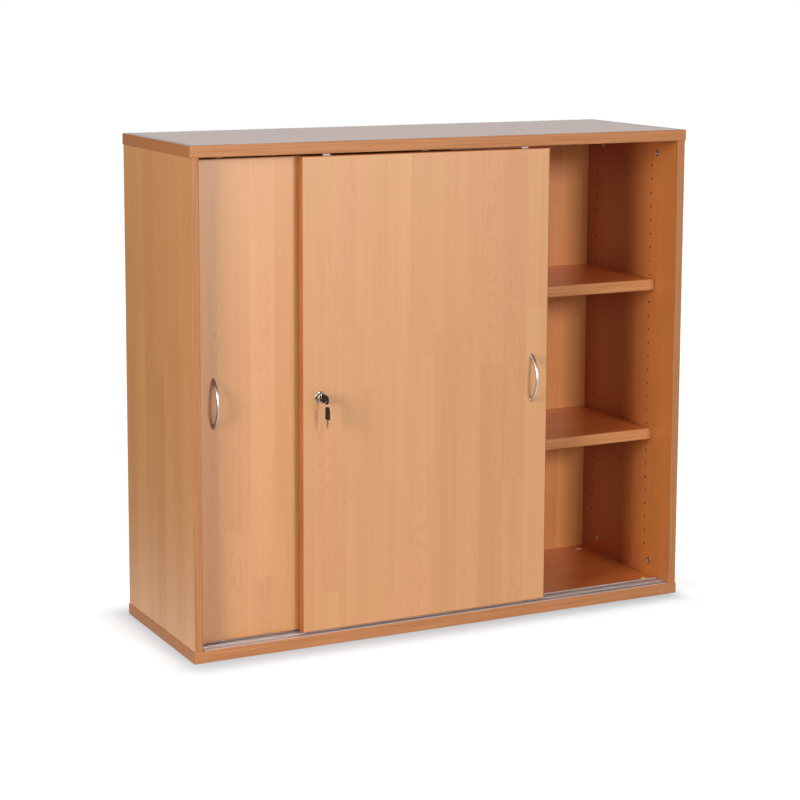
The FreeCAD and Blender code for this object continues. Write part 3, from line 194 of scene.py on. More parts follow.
def new_group(kind, name, inputs, outputs):
    """A node group with these sockets, and what comes in through them."""
    group = bpy.data.node_groups.new(name, kind)
    for in_out, sockets in (("INPUT", inputs), ("OUTPUT", outputs)):
        for socket, sort in sockets.items():
            group.interface.new_socket(socket, in_out=in_out, socket_type="NodeSocket" + sort)
    return group, node(group, "NodeGroupInput").outputs


def empty_tree(owner):
    """The tree of a material or a world, emptied."""
    owner.use_nodes = True
    owner.node_tree.nodes.clear()
    return owner.node_tree


def new_material(name):
    """A material and the coordinates of a point in its tree: Object, Normal and more."""
    material = bpy.data.materials.new(name)
    return material, node(empty_tree(material), "ShaderNodeTexCoord").outputs


def end_material(colour, roughness, height, depth, strength=1.0, **others):
    """The shader at the end of a material, with relief as deep as depth in metres."""
    relief = {"Height": height, "Distance": depth, "Strength": strength}
    bump = after("ShaderNodeBump", relief)[0]
    inputs = {"Base Color": colour, "Roughness": roughness, "Normal": bump, **others}
    after("ShaderNodeOutputMaterial", {0: after("ShaderNodeBsdfPrincipled", inputs)[0]})


WHITE = (1, 1, 1, 1)

# %% [markdown]
# ## The beech decor
#
# The boards are chipboard with a printed beech decor under a clear, satin melamine. The print shows
# a block pattern: staves 57 mm wide, butted end to end every 72 cm, so the tone steps a little at
# every joint. Inside a block there are long soft streaks and fine pores, and in some blocks the
# nested arches of a flat-sawn plank.
#
# The group takes two lengths in metres: along the grain and across it. Rounding the across length
# down numbers the staves, and rounding the shifted along length down numbers the blocks in a stave.
# White noise turns the two numbers into three chances: the block's tone, its own piece of the
# figure, and whether it shows arches. The arches are the contour lines of a parabola: distance
# along, plus the square of the distance from the stave's middle.

# %% Beech node group
STAVE_WIDTH, BLOCK_LENGTH = 0.057, 0.72
PALE_BEECH, DARK_BEECH = (0.610, 0.284, 0.101, 1), (0.495, 0.203, 0.058, 1)
YELLOWER, PINKER = (1.0, 1.035, 0.98, 1), (1.0, 0.995, 1.02, 1)
SPECK_BROWN = (0.20, 0.07, 0.02, 1)


def beech_group():
    """The decor's colour and height at a length along the grain and one across it."""
    inputs, outputs = {"Along": "Float", "Across": "Float"}, {"Color": "Color", "Height": "Float"}
    group, given = new_group("ShaderNodeTree", "beech decor", inputs, outputs)
    along, across = given["Along"], given["Across"]

    def spot(along_scale, across_scale, lift=0.0):
        scaled = times(along, along_scale), times(across, across_scale)
        return vector(*scaled, lift)

    def grain(along_scale, across_scale, detail, lift):
        return noise(spot(along_scale, across_scale, lift), 1.0, detail)

    # number the staves, and the blocks in each stave
    staves = times(across, 1 / STAVE_WIDTH)
    stave = maths("FLOOR", staves)
    off_middle = maths("SUBTRACT", maths("FRACT", staves), 0.5)
    start = after("ShaderNodeTexWhiteNoise", {"W": stave}, noise_dimensions="1D")["Value"]
    blocks = total(times(along, 1 / BLOCK_LENGTH), times(start, 7.0))
    numbers = {"Vector": vector(stave, maths("FLOOR", blocks))}
    dice = after("ShaderNodeTexWhiteNoise", numbers, noise_dimensions="2D")["Color"]
    tone, slide, arch = after("ShaderNodeSeparateColor", {0: dice})

    # nested arches, upright in some blocks and hanging in others
    way = maths("SIGN", maths("SUBTRACT", slide, 0.5))
    squared = maths("POWER", maths("ABSOLUTE", off_middle), 2.0)
    wander = grain(3.4, 16.0, 3.0, times(slide, 40.0))
    height = total(
        times(along, 15.0), times(squared, 11.0, way), times(wander, 9.0), times(tone, 9.0)
    )
    contour = spread(maths("SINE", times(height, math.tau)), -1, 1)
    patchy = spread(grain(3.0, 8.0, 1.0, times(tone, 30.0)), 0.38, 0.62)
    line = times(maths("POWER", contour, 7.0), patchy)
    figured = times(line, spread(arch, 0.5, 0.62))

    # darker and paler staves, soft bands, streaks and pores
    soft = grain(0.8, 24.0, 2.0, times(slide, 40.0))
    streak = grain(2.2, 95.0, 4.0, times(tone, 40.0))
    pore = grain(45.0, 1500.0, 2.0, 0.3)
    stave_tone = total(times(tone, 0.45), times(start, 0.55))
    dark = total(
        spread(stave_tone, 0.1, 0.9, -0.40, 0.40),
        times(figured, 0.60),
        spread(soft, 0.3, 0.7, -0.30, 0.30),
        spread(streak, 0.3, 0.72, -0.20, 0.30),
        spread(pore, 0.35, 0.75, -0.08, 0.14),
    )
    colour = blended(spread(dark, -0.9, 0.9), PALE_BEECH, DARK_BEECH)
    colour = tinted(colour, blended(arch, YELLOWER, PINKER))

    # now and then a small dark speck
    inputs = {"Vector": spot(4.0, 9.0), "Scale": 1.0}
    cells = after("ShaderNodeTexVoronoi", inputs, voronoi_dimensions="2D")
    chosen = maths("LESS_THAN", after("ShaderNodeSeparateColor", {0: cells["Color"]})[0], 0.3)
    speck = times(spread(cells["Distance"], 0.012, 0.006), chosen, 0.6)
    specked = blended(speck, colour, SPECK_BROWN)
    relief = total(times(pore, 0.7), times(streak, 0.3))
    node(group, "NodeGroupOutput", {"Color": specked, "Height": relief})
    return group


beech = beech_group()
print("beech decor:", len(beech.nodes), "nodes")

# %% [markdown]
# ## Five laminates and four edgings
#
# The grain runs up the doors, the sides and the back, and lengthwise on the top, the bottom and the
# shelves, so each laminate feeds other coordinates to the same group. The two doors take theirs
# from different stretches of the decor, as boards cut from one long sheet do. The melamine is
# satin: a rather smooth surface that mirrors bright things softly, most of all at a low angle.
#
# Inside the cabinet light goes from wall to wall and takes on more of the wood's colour each time.
# Only some of that is traced, so the rest is painted: the faces round the inner space have a
# painted tint for that bounced light, deeper and darker at the rear of the sides as painted shade.
# Where a bore goes into a side, its wall is raw chipboard, darkened as painted shade in the bore.
#
# The edging is a plastic strip printed to match. It has no staves, only streaks that follow the
# strip, so its material looks at which way a face points: on the ends of a board the strip runs
# from front to back, and on the upright edges of a door it runs up. The shelves' strip is paler
# than the boards' own. The doors' strip is darker and redder, a painted shade for the light that
# bounces between the two doors and takes on the wood's colour.

# %% Laminates
MELAMINE_IOR, SATIN, SMOOTHER = 1.9, 0.42, 0.26
# The bore walls' colour is raw chipboard, made much darker as painted shade inside the bore.
RAW_AND_SHADED_BORE = (0.09, 0.035, 0.012, 1)


def inner_space(axes):
    """1 on the inner faces, given painted light and shade, and 1 inside the sides' thickness."""
    side_low, side_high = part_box("right_side_panel")
    floor_top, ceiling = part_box("bottom_panel")[1][2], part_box("top_panel")[0][2]
    back_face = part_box("back_panel")[0][1]
    slack = 0.4 * MM
    from_middle = maths("ABSOLUTE", axes["X"])
    inside = times(
        maths("LESS_THAN", from_middle, side_low[0] + slack),
        maths("LESS_THAN", axes["Y"], back_face + slack),
        maths("GREATER_THAN", axes["Z"], floor_top - slack),
        maths("LESS_THAN", axes["Z"], ceiling + slack),
    )
    in_board = times(
        maths("GREATER_THAN", from_middle, side_low[0] + slack),
        maths("LESS_THAN", from_middle, side_high[0] - slack),
        maths("LESS_THAN", axes["Y"], side_high[1] - slack),
    )
    return inside, in_board


def laminate(name, along, across, shift, roughness=SATIN, painted_bounce_tint=None, painted_rear_shade=None):
    """Laminate whose grain runs along one axis and whose staves lie across another."""
    material, coordinates = new_material("beech laminate, " + name)
    axes = axes_of(coordinates["Object"])
    lengths = {"Along": axes[along], "Across": maths("ADD", axes[across], shift)}
    decor = after("ShaderNodeGroup", lengths, node_tree=beech)
    colour = decor["Color"]
    # Painted light inside the cabinet: the faces round the inner space take a painted tint for
    # bounced light, which turns into a painted shade towards the rear.
    if painted_bounce_tint:
        inside, in_board = inner_space(axes)
        deep = spread(axes["Y"], -0.03, 0.03)
        tint = blended(deep, painted_bounce_tint, painted_rear_shade or painted_bounce_tint)
        colour = blended(inside, colour, tinted(colour, tint))
        # Bore walls: raw chipboard colour, darkened as painted shade.
        colour = blended(in_board, colour, RAW_AND_SHADED_BORE)
    end_material(colour, roughness, decor["Height"], 0.00006, 0.5, IOR=MELAMINE_IOR)
    return material


front_upright = laminate("front door", "Z", "X", 0.035)
rear_upright = laminate("rear door", "Z", "X", 1.139)
# The back's tint is painted bounce light. The sides' rear tint is painted shade. The lengthwise
# tint paints both on the shelves and on the inner faces of the top and bottom.
back_upright = laminate("back", "Z", "X", 0.52, SATIN, (1.19, 0.98, 0.67, 1))
side_painted_tints = (0.98, 0.69, 0.43, 1), (0.76, 0.36, 0.16, 1)
upright_side = laminate("sides", "Z", "Y", 0.13, SATIN, *side_painted_tints)
lengthwise = laminate("lengthwise", "X", "Y", 0.07, SMOOTHER, (1.06, 0.64, 0.48, 1))
print("laminates:", front_upright.name, "/", upright_side.name, "/", lengthwise.name)

# %% Edging
PALE_STRIP, DARK_STRIP = (0.552, 0.240, 0.093, 1), (0.382, 0.148, 0.046, 1)


def edging(name, along, across, turned_axis, turned_along, tint):
    """Edging whose streaks run another way where a face points along turned_axis."""
    material, coordinates = new_material("beech edging, " + name)
    axes, facing = axes_of(coordinates["Object"]), axes_of(coordinates["Normal"])
    is_turned = maths("GREATER_THAN", maths("ABSOLUTE", facing[turned_axis]), 0.6)
    run = after("ShaderNodeMix", {0: is_turned, 2: axes[along], 3: axes[turned_along]})[0]
    width = axes[across]
    fine = times(run, 5.0), times(width, 420.0), times(axes["Y"], 60.0)
    streak = noise(vector(*fine), 1.0, 4.0)
    broad = noise(vector(times(run, 1.3), times(width, 60.0)))
    dark = total(
        spread(streak, 0.35, 0.65, 0, 0.7),
        spread(broad, 0.3, 0.7, 0, 0.3),
        times(is_turned, 0.9),
    )
    colour = tinted(blended(dark, PALE_STRIP, DARK_STRIP), tint)
    end_material(colour, 0.5, streak, 0.00005, 0.5, IOR=1.35)
    return material


board_edging = edging("boards", "X", "Z", "X", "Y", (0.99, 0.97, 1.04, 1))
shelf_edging = edging("shelves", "X", "Z", "X", "Y", (1.13, 1.12, 1.14, 1))
# The doors' darker, redder tint paints the shade and bounced light between the doors.
door_edging = edging("doors", "Z", "X", "Z", "X", (0.84, 0.62, 0.46, 1))
strip_edging = edging("uprights", "Z", "X", "Z", "Z", (0.90, 0.90, 0.94, 1))
print("edgings ready")

# %% [markdown]
# ## Metals and plastics
#
# A fitting's metal is told by its roughness and by what it mirrors. The handles are satin nickel,
# lightly brushed, so highlights stretch. The lock and the blades are bright nickel. The track is
# drawn aluminium, with fine lines along its length and a skin that scatters part of the light, so
# it is only partly metallic. Screws and pegs are zinc plated, with a blotchy shimmer, and the cams
# are duller cast zinc. Moulded plastic has a fine, even grain, like leather.

# %% Metals
def metal(name, colour, roughness, lines, axis=None, depth=0.00001, shimmer=0.0, share=1.0):
    """Metal with lines drawn along one axis, or an even satin, and an optional shimmer."""
    material, coordinates = new_material(name)
    place = coordinates["Object"]
    stretch = [lines, lines, lines]
    if axis is not None:
        stretch[axis] = lines / 100
    fine = noise(after("ShaderNodeMapping", {"Vector": place, "Scale": stretch})[0], 1.0, 3.0)
    darker = [c * 0.86 for c in colour]
    shade = blended(spread(fine, 0.3, 0.7), (*colour, 1), (*darker, 1))
    even = spread(fine, 0.3, 0.7, roughness - 0.04, roughness + 0.04)
    rough = total(even, times(noise(place, 160.0), shimmer))
    end_material(shade, rough, fine, depth, 0.6, Metallic=share)
    return material


satin_nickel = metal("satin nickel", (0.58, 0.52, 0.50), 0.37, 1400.0, 2)
bright_nickel = metal("bright nickel", (0.45, 0.43, 0.39), 0.16, 600.0, None, 0.000004)
aluminium = metal("drawn aluminium", (0.56, 0.49, 0.46), 0.46, 1500.0, 0, 0.000005, 0.0, 0.6)
zinc = metal("zinc plating", (0.66, 0.67, 0.69), 0.30, 300.0, None, 0.00001, 0.12)
cast_zinc = metal("cast zinc", (0.48, 0.46, 0.44), 0.40, 500.0, None, 0.00003, 0.10)
print("metals ready")

# %% Plastics and dowels
def plastic(name, colour, roughness, ior=1.5):
    """Moulded plastic with a fine even grain and slightly uneven gloss."""
    material, coordinates = new_material(name)
    place = coordinates["Object"]
    pebble = after("ShaderNodeTexVoronoi", {"Vector": place, "Scale": 1500.0})["Distance"]
    cloud = noise(place, 45.0, 3.0)
    paler = [min(1, c * 1.12 + 0.004) for c in colour]
    shade = blended(spread(cloud, 0.3, 0.7), (*colour, 1), (*paler, 1))
    uneven = spread(cloud, 0.3, 0.7, roughness - 0.05, roughness + 0.05)
    end_material(shade, uneven, pebble, 0.00003, 0.5, IOR=ior)
    return material


def dowel_material():
    """Unfinished beech with darker flutes pressed along the dowel."""
    material, coordinates = new_material("beech dowel")
    inputs = {"Vector": coordinates["Object"], "Scale": 260.0, "Distortion": 1.0}
    flutes = after("ShaderNodeTexWave", inputs)[1]
    shade = blended(flutes, (0.62, 0.42, 0.22, 1), (0.50, 0.31, 0.15, 1))
    end_material(shade, 0.7, flutes, 0.0002)
    return material


key_black = plastic("black key plastic", (0.011, 0.006, 0.004), 0.42, 1.3)
foot_black = plastic("black foot plastic", (0.022, 0.022, 0.024), 0.5)
guide_grey = plastic("grey guide plastic", (0.62, 0.61, 0.60), 0.45)
roller_white = plastic("white roller plastic", (0.72, 0.71, 0.68), 0.4)
cap_beige = plastic("beige cap plastic", (0.68, 0.54, 0.30), 0.42)
track_brown = plastic("brown track plastic", (0.12, 0.05, 0.025), 0.45)
dowel_wood = dowel_material()
print("plastics and dowel wood ready")

# %% [markdown]
# ## Finishes on the measured solids
#
# The boards, edgings, tracks and housings keep their measured solids. A finish is given to a solid
# by filling its material slots. A star in a name below stands for any letters.

# %% Give the solids their finish
FINISHES = {
    front_upright: "front_door_panel",
    rear_upright: "rear_door_panel",
    back_upright: "back_panel",
    upright_side: "*_side_panel centre_partition",
    lengthwise: "top_panel bottom_panel *_shelf",
    board_edging: "top_edging bottom_edging",
    shelf_edging: "shelf_edging",
    door_edging: "*_door_edging",
    strip_edging: "side_edging partition_edging",
    aluminium: "bottom_track",
    track_brown: "top_track",
    guide_grey: "*_door_guides *_roller_housings",
    roller_white: "*_roller",
    foot_black: "foot_front_* foot_back_* foot_sleeves",
    dowel_wood: "*_dowels",
    zinc: "cam_bolts *_screws lock_plate lock_spring *_axles shelf_supports",
    cast_zinc: "cam_locks",
    cap_beige: "foot_caps",
    satin_nickel: "*_handle",
    bright_nickel: "lock_housing lock_barrel lock_bolt lock_core *key_blade key_ring",
    key_black: "*key_head",
}
finished = set()
for material, patterns in FINISHES.items():
    for pattern in patterns.split():
        for name in fnmatch.filter(frame["nodes"], pattern):
            slots = frame["nodes"][name].data.materials
            slots.clear()
            slots.append(material)
            finished.add(name)
print("finished:", len(finished), "of", len(frame["nodes"]))

# %% [markdown]
# ## Floor, backdrop and light
#
# The floor is a plain white sheet. For the camera it is partly a plain white glow, so that it stays
# white far away, and partly a real surface, so that it keeps the shadow under the cabinet. The glow
# is weakest round the bottom board and grows over 9 cm, which paints a contact shadow there. The
# painted shadow starts lighter beside the board's left and right ends, where less shadow falls. In
# front the glow is faintly blue, a painted tint that makes up for the brown light that the doors
# throw on the floor.
#
# The world is white for the camera. In mirrors it is a white backdrop under a dark ceiling, with
# a dark room at the left, which is what the satin top and the bright lock mirror. For all other
# light it is a dim room, with a band of light low down behind the cabinet for its back.
#
# Five softboxes light the cabinet. The main one stands at the right of the camera and makes the
# shadow beside the front door. A weaker one nearer the camera softens it. The left one lights the
# left side and the doors' edges. The other two stand behind and at the right, for views from there.

# %% Floor
# The glow is lowest at the board's foot, which makes the painted contact shadow.
PAINTED_SHADOW, MORE_AT_LEFT, MORE_AT_RIGHT, FULL_GLOW, SHADOW_REACH = 0.38, 0.20, 0.62, 0.78, 0.090
NEAR_GREY, FAR_GREY = (0.36, 0.36, 0.36, 1), (0.15, 0.15, 0.15, 1)
FAINT_BLUE = (0.94, 0.99, 1.04, 1)


def rays(tree):
    """1 for the camera's rays, and 1 for those from a mirroring or through a clear surface."""
    path = node(tree, "ShaderNodeLightPath").outputs
    mirror_rays = maths("MAXIMUM", path["Is Glossy Ray"], path["Is Transmission Ray"])
    return path["Is Camera Ray"], mirror_rays


def floor_material():
    """A matt white sheet whose white glow is weaker round the bottom board, as a painted shadow."""
    material, coordinates = new_material("white floor")
    axes = axes_of(coordinates["Object"])
    low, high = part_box("bottom_edging")

    def past(axis):
        """How far a point of the floor lies outside the board, along one axis."""
        middle, half = (low[axis] + high[axis]) / 2, (high[axis] - low[axis]) / 2
        from_middle = maths("ABSOLUTE", maths("SUBTRACT", axes[axis], middle))
        return maths("MAXIMUM", maths("SUBTRACT", from_middle, half), 0.0)

    outside = {0: vector(past(0), past(1))}
    gap = after("ShaderNodeVectorMath", outside, operation="LENGTH")["Value"]
    # The dip in the glow round the board is a painted contact shadow, lighter at the board's ends.
    to_left = spread(axes["X"], low[0] + 0.02, low[0] - 0.04)
    to_right = spread(axes["X"], high[0] - 0.02, high[0] + 0.05)
    more = times(to_left, MORE_AT_LEFT), times(to_right, MORE_AT_RIGHT)
    painted_shadow_glow = total(*more, PAINTED_SHADOW)
    reached = times(gap, spread(axes["X"], 0.0, 0.6, 1.0, 1.4))
    ramp = {0: reached, 1: 0.0, 2: SHADOW_REACH, 3: painted_shadow_glow, 4: FULL_GLOW}
    near = after("ShaderNodeMapRange", ramp, interpolation_type="SMOOTHSTEP")[0]
    seen = total(near, spread(gap, 0.08, 0.18, 0.0, 0.24))
    mirrored = spread(axes["X"], -0.95, -0.55, 0.0, 0.9)
    camera_rays, mirror_rays = rays(material.node_tree)
    share = times(seen, camera_rays), times(mirrored, mirror_rays)
    ends = maths("MAXIMUM", to_left, to_right)
    plain = maths("MAXIMUM", spread(gap, 0.0, 0.15), ends)
    paint = blended(spread(gap, 0.30, 1.20), NEAR_GREY, FAR_GREY)
    sheet = after("ShaderNodeBsdfDiffuse", {"Color": paint})[0]
    # The faint blue near the board is a painted tint against the doors' brown bounce light.
    light = {"Color": blended(plain, FAINT_BLUE, WHITE), "Strength": total(*share)}
    glow = after("ShaderNodeEmission", light)[0]
    both = after("ShaderNodeAddShader", {0: sheet, 1: glow})[0]
    after("ShaderNodeOutputMaterial", {0: both})
    return material


REACH = 14.0
corners = [(-REACH, -REACH, 0), (REACH, -REACH, 0), (REACH, REACH, 0), (-REACH, REACH, 0)]
floor_mesh = bpy.data.meshes.new("floor")
floor_mesh.from_pydata(corners, [], [(0, 1, 2, 3)])
floor_mesh.materials.append(floor_material())
linked("floor", floor_mesh)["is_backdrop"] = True
print("floor", 2 * REACH, "m wide")

# %% World
MIRRORED_WHITE, MIRRORED_DARK = (1, 0.97, 1, 1), (0.035, 0.028, 0.024, 1)
DIM_LOW, DIM_HIGH = (0.06, 0.06, 0.063, 1), (0.09, 0.09, 0.09, 1)


def room_world():
    """White for the camera, a backdrop under a dark ceiling in mirrors, and a dim room as light."""
    world = bpy.data.worlds.new("studio")
    tree = empty_tree(world)
    way = axes_of(node(tree, "ShaderNodeTexCoord").outputs["Generated"])
    ceiling, left = spread(way["Z"], 0.28, 0.62), spread(way["X"], -0.15, -0.40)
    unlit = maths("MAXIMUM", ceiling, left)
    backdrop = blended(unlit, MIRRORED_WHITE, MIRRORED_DARK)
    behind = times(
        spread(way["Y"], 0.0, 0.25),
        spread(way["Z"], 0.40, 0.22),
        spread(way["X"], -0.50, -0.10),
    )
    dim = blended(spread(way["Z"], 0.0, 0.7), DIM_LOW, DIM_HIGH)
    camera_rays, mirror_rays = rays(tree)
    colour = blended(mirror_rays, blended(behind, dim, WHITE), backdrop)
    colour = blended(camera_rays, colour, WHITE)
    lit = after("ShaderNodeBackground", {"Color": colour, "Strength": 1.0})[0]
    after("ShaderNodeOutputWorld", {0: lit})
    return world


bpy.context.scene.world = room_world()
print("world:", bpy.context.scene.world.name)

# %% Softboxes
def softbox(name, spot, width, height, power):
    """A rectangular lamp that faces the cabinet's middle."""
    lamp = bpy.data.lights.new(name, "AREA")
    lamp.shape = "RECTANGLE"
    lamp.size, lamp.size_y = width, height
    lamp.energy = power
    holder = linked(name, lamp)
    holder.location = spot
    facing = Vector((0, 0, 0.55)) - Vector(spot)
    holder.rotation_euler = facing.to_track_quat("-Z", "Y").to_euler()


softbox("main_softbox", (1.3, -7.0, 2.75), 1.2, 1.2, 262)
softbox("front_softbox", (-1.1, -6.6, 1.6), 1.6, 1.6, 72)
softbox("left_softbox", (-3.6, -1.75, 1.45), 1.2, 1.6, 134)
softbox("rear_softbox", (-0.1, 6.2, 1.3), 1.0, 1.6, 150)
softbox("right_softbox", (6.0, 2.8, 1.3), 1.6, 1.6, 110)

# %% [markdown]
# ## Helpers for shapes
#
# Turned parts are made as on a lathe: a profile of radius and height is spun round an axis. Flat
# parts start as an outline that is pulled up to a thickness. Both are drawn in millimetres. Then
# their points, not the object, are scaled, turned and moved into place, so that the finished object
# itself sits at the origin, like every measured solid.

# %% Lathe, plate and place
STRAIGHT = Matrix.Identity(3)
TO_FRONT = Matrix.Rotation(math.radians(90), 3, "X")


def circle(radius, steps, middle=0):
    """(x, y) points round (0, middle), and a single point where the radius is 0."""
    angles = [math.tau * step / steps for step in range(steps if radius else 1)]
    return [(radius * math.cos(a), middle + radius * math.sin(a)) for a in angles]


def lathe(profile, segments=48):
    """A closed shape from (radius, height) corners spun round Z."""
    made = bmesh.new()
    rings = []
    for radius, height in profile:
        rings.append([made.verts.new((x, y, height)) for x, y in circle(radius, segments)])
    hollow = profile[0][0] > 0
    for low, high in zip(rings, rings[1:] + rings[:1] if hollow else rings[1:]):
        for step in range(segments):
            corners = [low[step % len(low)], low[(step + 1) % len(low)]]
            corners += [high[(step + 1) % len(high)], high[step % len(high)]]
            loop = list(dict.fromkeys(corners))
            if len(loop) > 2:
                made.faces.new(loop)
    bmesh.ops.recalc_face_normals(made, faces=made.faces)
    return made


def plate(outline, thickness):
    """A flat shape: an outline of (x, y) pulled up to a thickness."""
    made = bmesh.new()
    low = [made.verts.new((x, y, 0)) for x, y in outline]
    high = [made.verts.new((x, y, thickness)) for x, y in outline]
    made.faces.new(low[::-1])
    made.faces.new(high)
    for step in range(len(outline)):
        following = (step + 1) % len(outline)
        made.faces.new((low[step], low[following], high[following], high[step]))
    bmesh.ops.recalc_face_normals(made, faces=made.faces)
    return made


def oblong(left, right, low, high):
    """The outline of a rectangle."""
    return [(left, low), (right, low), (right, high), (left, high)]


def placed(made, turn=STRAIGHT, spot=(0, 0, 0)):
    """The shape scaled from millimetres to metres, turned and moved to a spot in metres."""
    change = Matrix.Translation(spot) @ turn.to_4x4() @ Matrix.Scale(MM, 4)
    bmesh.ops.transform(made, matrix=change, verts=made.verts)
    return made


def smoothed(mesh, below=0.6):
    """The mesh shaded smooth, but for the edges that turn by a larger angle."""
    mesh.shade_smooth()
    mesh.set_sharp_from_angle(angle=below)
    return mesh


def as_object(name, made, material):
    """A shape as an object."""
    mesh = bpy.data.meshes.new(name)
    made.to_mesh(mesh)
    made.free()
    mesh.materials.append(material)
    return linked(name, smoothed(mesh))


def turned(name, profile, material, segments=48, spot=(0, 0, 0), turn=TO_FRONT):
    """A turned part as an object, at a spot, with its axis to the front."""
    return as_object(name, placed(lathe(profile, segments), turn, spot), material)

# %% Work modifiers into a mesh, and hand a piece over
def worked_mesh(piece):
    """A mesh of the piece with its modifiers worked in."""
    bpy.context.view_layer.update()
    worked = piece.evaluated_get(bpy.context.evaluated_depsgraph_get())
    return smoothed(bpy.data.meshes.new_from_object(worked))


def settled(piece):
    """The piece with its modifiers worked into its mesh."""
    mesh = worked_mesh(piece)
    mesh.name = piece.name
    piece.modifiers.clear()
    piece.data = mesh
    return piece


def carved(piece, *cutters):
    """The piece with the cutters taken out of it."""
    for cutter in cutters:
        cut = piece.modifiers.new("cut", "BOOLEAN")
        cut.object = cutter
        cut.solver = "EXACT"
    settled(piece)
    for cutter in cutters:
        bpy.data.objects.remove(cutter)
    return piece


def eased(piece, width, segments=3):
    """The piece with its sharp edges rounded by a width in metres."""
    bevel = piece.modifiers.new("ease", "BEVEL")
    bevel.width = width
    bevel.segments = segments
    bevel.limit_method = "ANGLE"
    bevel.angle_limit = 0.6
    return settled(piece)


def hand_over(piece, body, finish, *solids):
    """The finished piece rides on its body and stands for these solids."""
    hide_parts(*solids)
    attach(piece, body)
    print(piece.name, "on", body, "-", len(piece.data.polygons), "faces")


def middle_of(low, high):
    return Vector((a + b) / 2 for a, b in zip(low, high))

# %% [markdown]
# ## The bow handles
#
# Each handle is one bent rod that leaves the door, swings out by 28 mm and comes back 104 mm
# further up: an arc of a circle. A Geometry Nodes tree takes the arc as a curve, lets the rod thin
# a little towards its ends, and runs a round section along it. A turned collar covers each screw.

# %% Tree for a bent rod
def geometry_tree(name, **inputs):
    """A tree that takes geometry, these inputs and a finish, and gives geometry."""
    inputs = {"Geometry": "Geometry", **inputs, "Finish": "Material"}
    return new_group("GeometryNodeTree", name, inputs, {"Geometry": "Geometry"})


def end_geometry(kind, parts, finish):
    """The end of a tree: the node that makes the geometry, made real and in its finish."""
    real = after("GeometryNodeRealizeInstances", {0: after(kind, parts)[0]})[0]
    done = after("GeometryNodeSetMaterial", {0: real, "Material": finish})[0]
    after("NodeGroupOutput", {0: done})


def bent_rod_tree():
    """A round rod along a curve, thinner at its ends."""
    tree, given = geometry_tree("bent rod", Radius="Float", Taper="Float")
    way = node(tree, "GeometryNodeSplineParameter").outputs["Factor"]
    from_middle = maths("ABSOLUTE", maths("MULTIPLY_ADD", way, 2.0, -1.0))
    ease = {0: from_middle, 1: 0.35, 2: 1.0, 3: 1.0, 4: given["Taper"]}
    share = after("ShaderNodeMapRange", ease, interpolation_type="SMOOTHSTEP")[0]
    section = node(tree, "GeometryNodeCurvePrimitiveCircle", {"Resolution": 28, "Radius": 1.0})
    parts = {"Curve": given["Geometry"], "Profile Curve": section.outputs["Curve"]}
    parts |= {"Scale": times(given["Radius"], share), "Fill Caps": True}
    end_geometry("GeometryNodeCurveToMesh", parts, given["Finish"])
    return tree


def grow(piece, tree, **values):
    """A new object from the piece's data run through a tree with these inputs."""
    modifier = piece.modifiers.new("grow", "NODES")
    modifier.node_group = tree
    for item in tree.interface.items_tree:
        if item.in_out == "INPUT" and item.name in values:
            modifier[item.identifier] = values[item.name]
    mesh = worked_mesh(piece)
    name = piece.name
    bpy.data.objects.remove(piece)
    mesh.name = name
    return linked(name, mesh)


bent_rod = bent_rod_tree()
print("bent rod tree:", len(bent_rod.nodes), "nodes")

# %% Handles
def route(name, points):
    """A curve object through these points."""
    curve = bpy.data.curves.new(name, "CURVE")
    curve.dimensions = "3D"
    spline = curve.splines.new("POLY")
    spline.points.add(len(points) - 1)
    for point, spot in zip(spline.points, points):
        point.co = (*spot, 1)
    return linked(name, curve)


def join(piece, other):
    """Works another piece into a piece's mesh."""
    whole = bmesh.new()
    whole.from_mesh(piece.data)
    whole.from_mesh(other.data)
    bpy.data.objects.remove(other)
    bmesh.ops.recalc_face_normals(whole, faces=whole.faces)
    whole.to_mesh(piece.data)
    whole.free()
    smoothed(piece.data, 0.7)


HALF_SPAN, RISE, ROD_RADIUS, SCREW_OUT = 52 * MM, 27.8 * MM, 3.5 * MM, 48 * MM
COLLAR = [(0, 0), (4.5, 0), (4.5, 2.4), (4.35, 3.1), (3.9, 3.7), (3.2, 4.0), (0, 4.0)]
HANDLE_INSET = 41 * MM


def bow_handle(name, body, solid, x, face, middle):
    """A bow on the door's face at y = face, with a collar at each screw."""
    radius = (HALF_SPAN**2 + RISE**2) / (2 * RISE)
    sweep = math.asin(HALF_SPAN / radius)
    steps = 56
    points = []
    for step in range(steps + 1):
        angle = -sweep + 2 * sweep * step / steps
        out = radius * math.cos(angle) - (radius - RISE)
        points.append((x, face - out, middle + radius * math.sin(angle)))
    rod = grow(route(name, points), bent_rod, Radius=ROD_RADIUS, Taper=0.93, Finish=satin_nickel)
    for side in (-1, 1):
        spot = (x, face, middle + side * SCREW_OUT)
        join(rod, turned("collar", COLLAR, satin_nickel, 40, spot))
    hand_over(rod, body, "satin_nickel", solid)


front_low, front_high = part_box("front_door_edging")
rear_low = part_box("rear_door_edging")[0]
front_face, door_middle = front_low[1], (front_low[2] + front_high[2]) / 2
front_x, rear_x = front_high[0] - HANDLE_INSET, rear_low[0] + HANDLE_INSET
bow_handle("front_bow", "front_door", "front_door_handle", front_x, front_face, door_middle)
bow_handle("rear_bow", "rear_door", "rear_door_handle", rear_x, rear_low[1], door_middle)

# %% [markdown]
# ## Fittings that repeat
#
# The cams, shelf supports, caps and screws are each one shape at many places. A Geometry Nodes tree
# takes points that each carry a turn, puts the same piece on every point, and makes the copies
# real. The places are measured on the loaded solids, so the fittings sit where their bores are.

